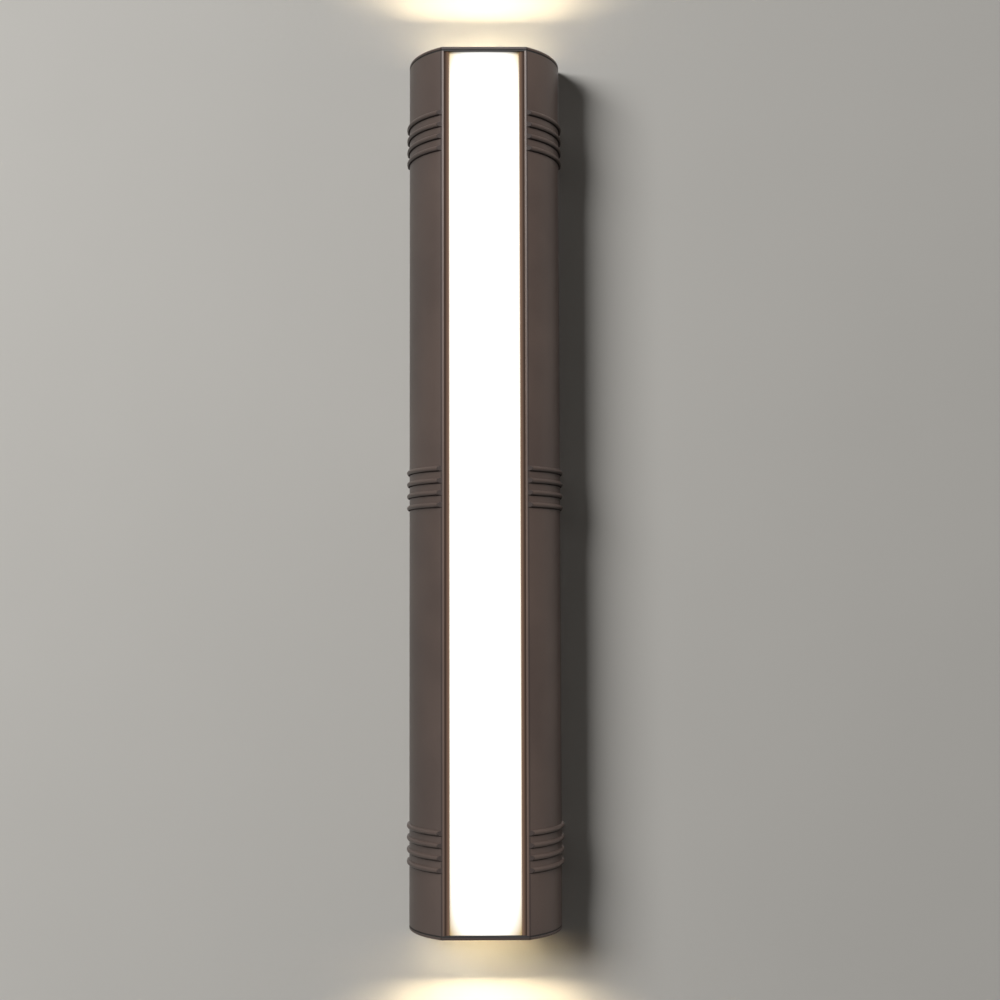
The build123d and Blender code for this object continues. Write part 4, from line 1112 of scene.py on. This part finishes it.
def chip_light(chips, side):
    """Light of a row of chips, just off their faces. Side 1 shines up, and -1 down."""
    low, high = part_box(chips)
    face_z = high.z if side > 0 else low.z
    area_light(
        chips + "_light",
        (0, (low.y + high.y) / 2, face_z + side * MM),
        (np.pi, 0, 0) if side > 0 else (0, 0, 0),
        high.x - low.x,
        high.y - low.y,
        bpy.context.scene.wall_light_stage.chip_power,
        bpy.context.scene.wall_light_finish.chip_glow,
    )


# ---- Studio: places and widths of the lights, and what the world shows the camera ----
KEY_PLACE = (-2.75, -2.4, 1.33)
KEY_SIZE = 1.65
FILL_PLACE = (0.1, -2.6, 1.9)
REAR_PLACE = (0.0, 2.6, 1.9)
FILL_SIZE = 2.0
STAGE_REACH = 4.0
WALL_GAP = 0.6 * MM
WORLD_COLOUR = (1.0, 0.96, 0.93)
WORLD_SHOWN = 0.9


class WALLLIGHT_OT_stage(bpy.types.Operator):
    """Pale wall and floor, soft lights, the lights of the chips and the world"""

    bl_idname = "wall_light.stage"
    bl_label = "Studio"

    def execute(self, context):
        look = context.scene.wall_light_stage
        far = STAGE_REACH
        wall_y = CAD_BOX[1].y + WALL_GAP
        floor_z = CAD_BOX[0].z - look.floor_drop
        wall = [(-far, wall_y, floor_z), (far, wall_y, floor_z), (far, wall_y, far), (-far, wall_y, far)]
        floor = [(-far, -far, floor_z), (far, -far, floor_z), (far, far, floor_z), (-far, far, floor_z)]
        planes = [
            stage_plane("backdrop", wall, stage_material("backdrop", tuple(look.wall_colour))),
            stage_plane("floor", floor, stage_material("floor", tuple(look.floor_colour))),
        ]
        studio_light("key", KEY_PLACE, KEY_SIZE, look.key_power)
        studio_light("wash", KEY_PLACE, KEY_SIZE, look.wash_power, planes)
        studio_light("fill", FILL_PLACE, FILL_SIZE, look.fill_power, planes, "EXCLUDE")
        studio_light("rear", REAR_PLACE, FILL_SIZE, look.fill_power / 2)
        chip_light("upper_led_chips", 1)
        chip_light("lower_led_chips", -1)
        world = bpy.data.worlds.new("studio")
        context.scene.world = world
        world.use_nodes = True
        nodes = Nodes(world.node_tree)
        ground = world.node_tree.nodes["Background"]
        ground.inputs["Color"].default_value = opaque(WORLD_COLOUR)
        path = world.node_tree.nodes.new("ShaderNodeLightPath").outputs
        seen = nodes.greatest(path["Is Camera Ray"], path["Is Transmission Ray"])
        strength = nodes.math("MULTIPLY_ADD", seen, WORLD_SHOWN - look.world_level, look.world_level)
        nodes.feed(ground.inputs["Strength"], strength)
        context.scene.view_settings.view_transform = "Standard"
        return {"FINISHED"}


# ---- Camera, fitted to the photograph's outline of the lamp ----
CAMERA_PLACE = (-0.78 * MM, -1075.97 * MM, -79.5 * MM)
CAMERA_PITCH = 0.05537
CAMERA_YAW = 0.01053
CAMERA_ROLL = -0.00269
FOCAL_PX = 1537.9
IMAGE_PX = 1000.0
CENTRE_DROP_PX = 20.0
SENSOR = 36.0


class WALLLIGHT_OT_camera(bpy.types.Operator):
    """Camera at the photograph's viewing angle"""

    bl_idname = "wall_light.camera"
    bl_label = "Camera"

    def execute(self, context):
        data = bpy.data.cameras.new("camera")
        data.sensor_width = SENSOR
        data.lens = FOCAL_PX * SENSOR / IMAGE_PX
        data.shift_y = CENTRE_DROP_PX / IMAGE_PX
        camera = bpy.data.objects.new("camera", data)
        pitch, yaw, roll = CAMERA_PITCH, CAMERA_YAW, CAMERA_ROLL
        ahead = Vector((np.sin(yaw) * np.cos(pitch), np.cos(yaw) * np.cos(pitch), np.sin(pitch)))
        level_right = Vector((np.cos(yaw), -np.sin(yaw), 0.0))
        level_up = level_right.cross(ahead)
        right = np.cos(roll) * level_right + np.sin(roll) * level_up
        up = np.cos(roll) * level_up - np.sin(roll) * level_right
        turn = Matrix((right, up, -ahead)).transposed()
        camera.matrix_world = Matrix.Translation(CAMERA_PLACE) @ turn.to_4x4()
        context.scene.collection.objects.link(camera)
        context.scene.camera = camera
        return {"FINISHED"}


class WALLLIGHT_PT_panel(bpy.types.Panel):
    """Lists the lamp's pieces and settings"""

    bl_idname = "WALLLIGHT_PT_panel"
    bl_label = "Tube Wall Light"
    bl_space_type = "VIEW_3D"
    bl_region_type = "UI"
    bl_category = "Wall Light"

    def draw(self, context):
        column = self.layout.column()
        for operator in OPERATORS:
            column.operator(operator.bl_idname)
        for settings in (context.scene.wall_light_finish, context.scene.wall_light_stage):
            for name in settings.__annotations__:
                column.prop(settings, name)


OPERATORS = (
    WALLLIGHT_OT_housing,
    WALLLIGHT_OT_caps,
    WALLLIGHT_OT_screws,
    WALLLIGHT_OT_finishes,
    WALLLIGHT_OT_stage,
    WALLLIGHT_OT_camera,
)
CLASSES = (WallLightFinish, WallLightStage, *OPERATORS, WALLLIGHT_PT_panel)


def register():
    """Registers the classes and hangs the settings on the scene."""
    for item in CLASSES:
        bpy.utils.register_class(item)
    bpy.types.Scene.wall_light_finish = bpy.props.PointerProperty(type=WallLightFinish)
    bpy.types.Scene.wall_light_stage = bpy.props.PointerProperty(type=WallLightStage)


def unregister():
    """Takes the settings and the classes away again."""
    del bpy.types.Scene.wall_light_stage
    del bpy.types.Scene.wall_light_finish
    for item in reversed(CLASSES):
        bpy.utils.unregister_class(item)


def main():
    register()
    for operator in OPERATORS:
        module, name = operator.bl_idname.split(".")
        getattr(getattr(bpy.ops, module), name)()


if __name__ == "__main__":
    main()
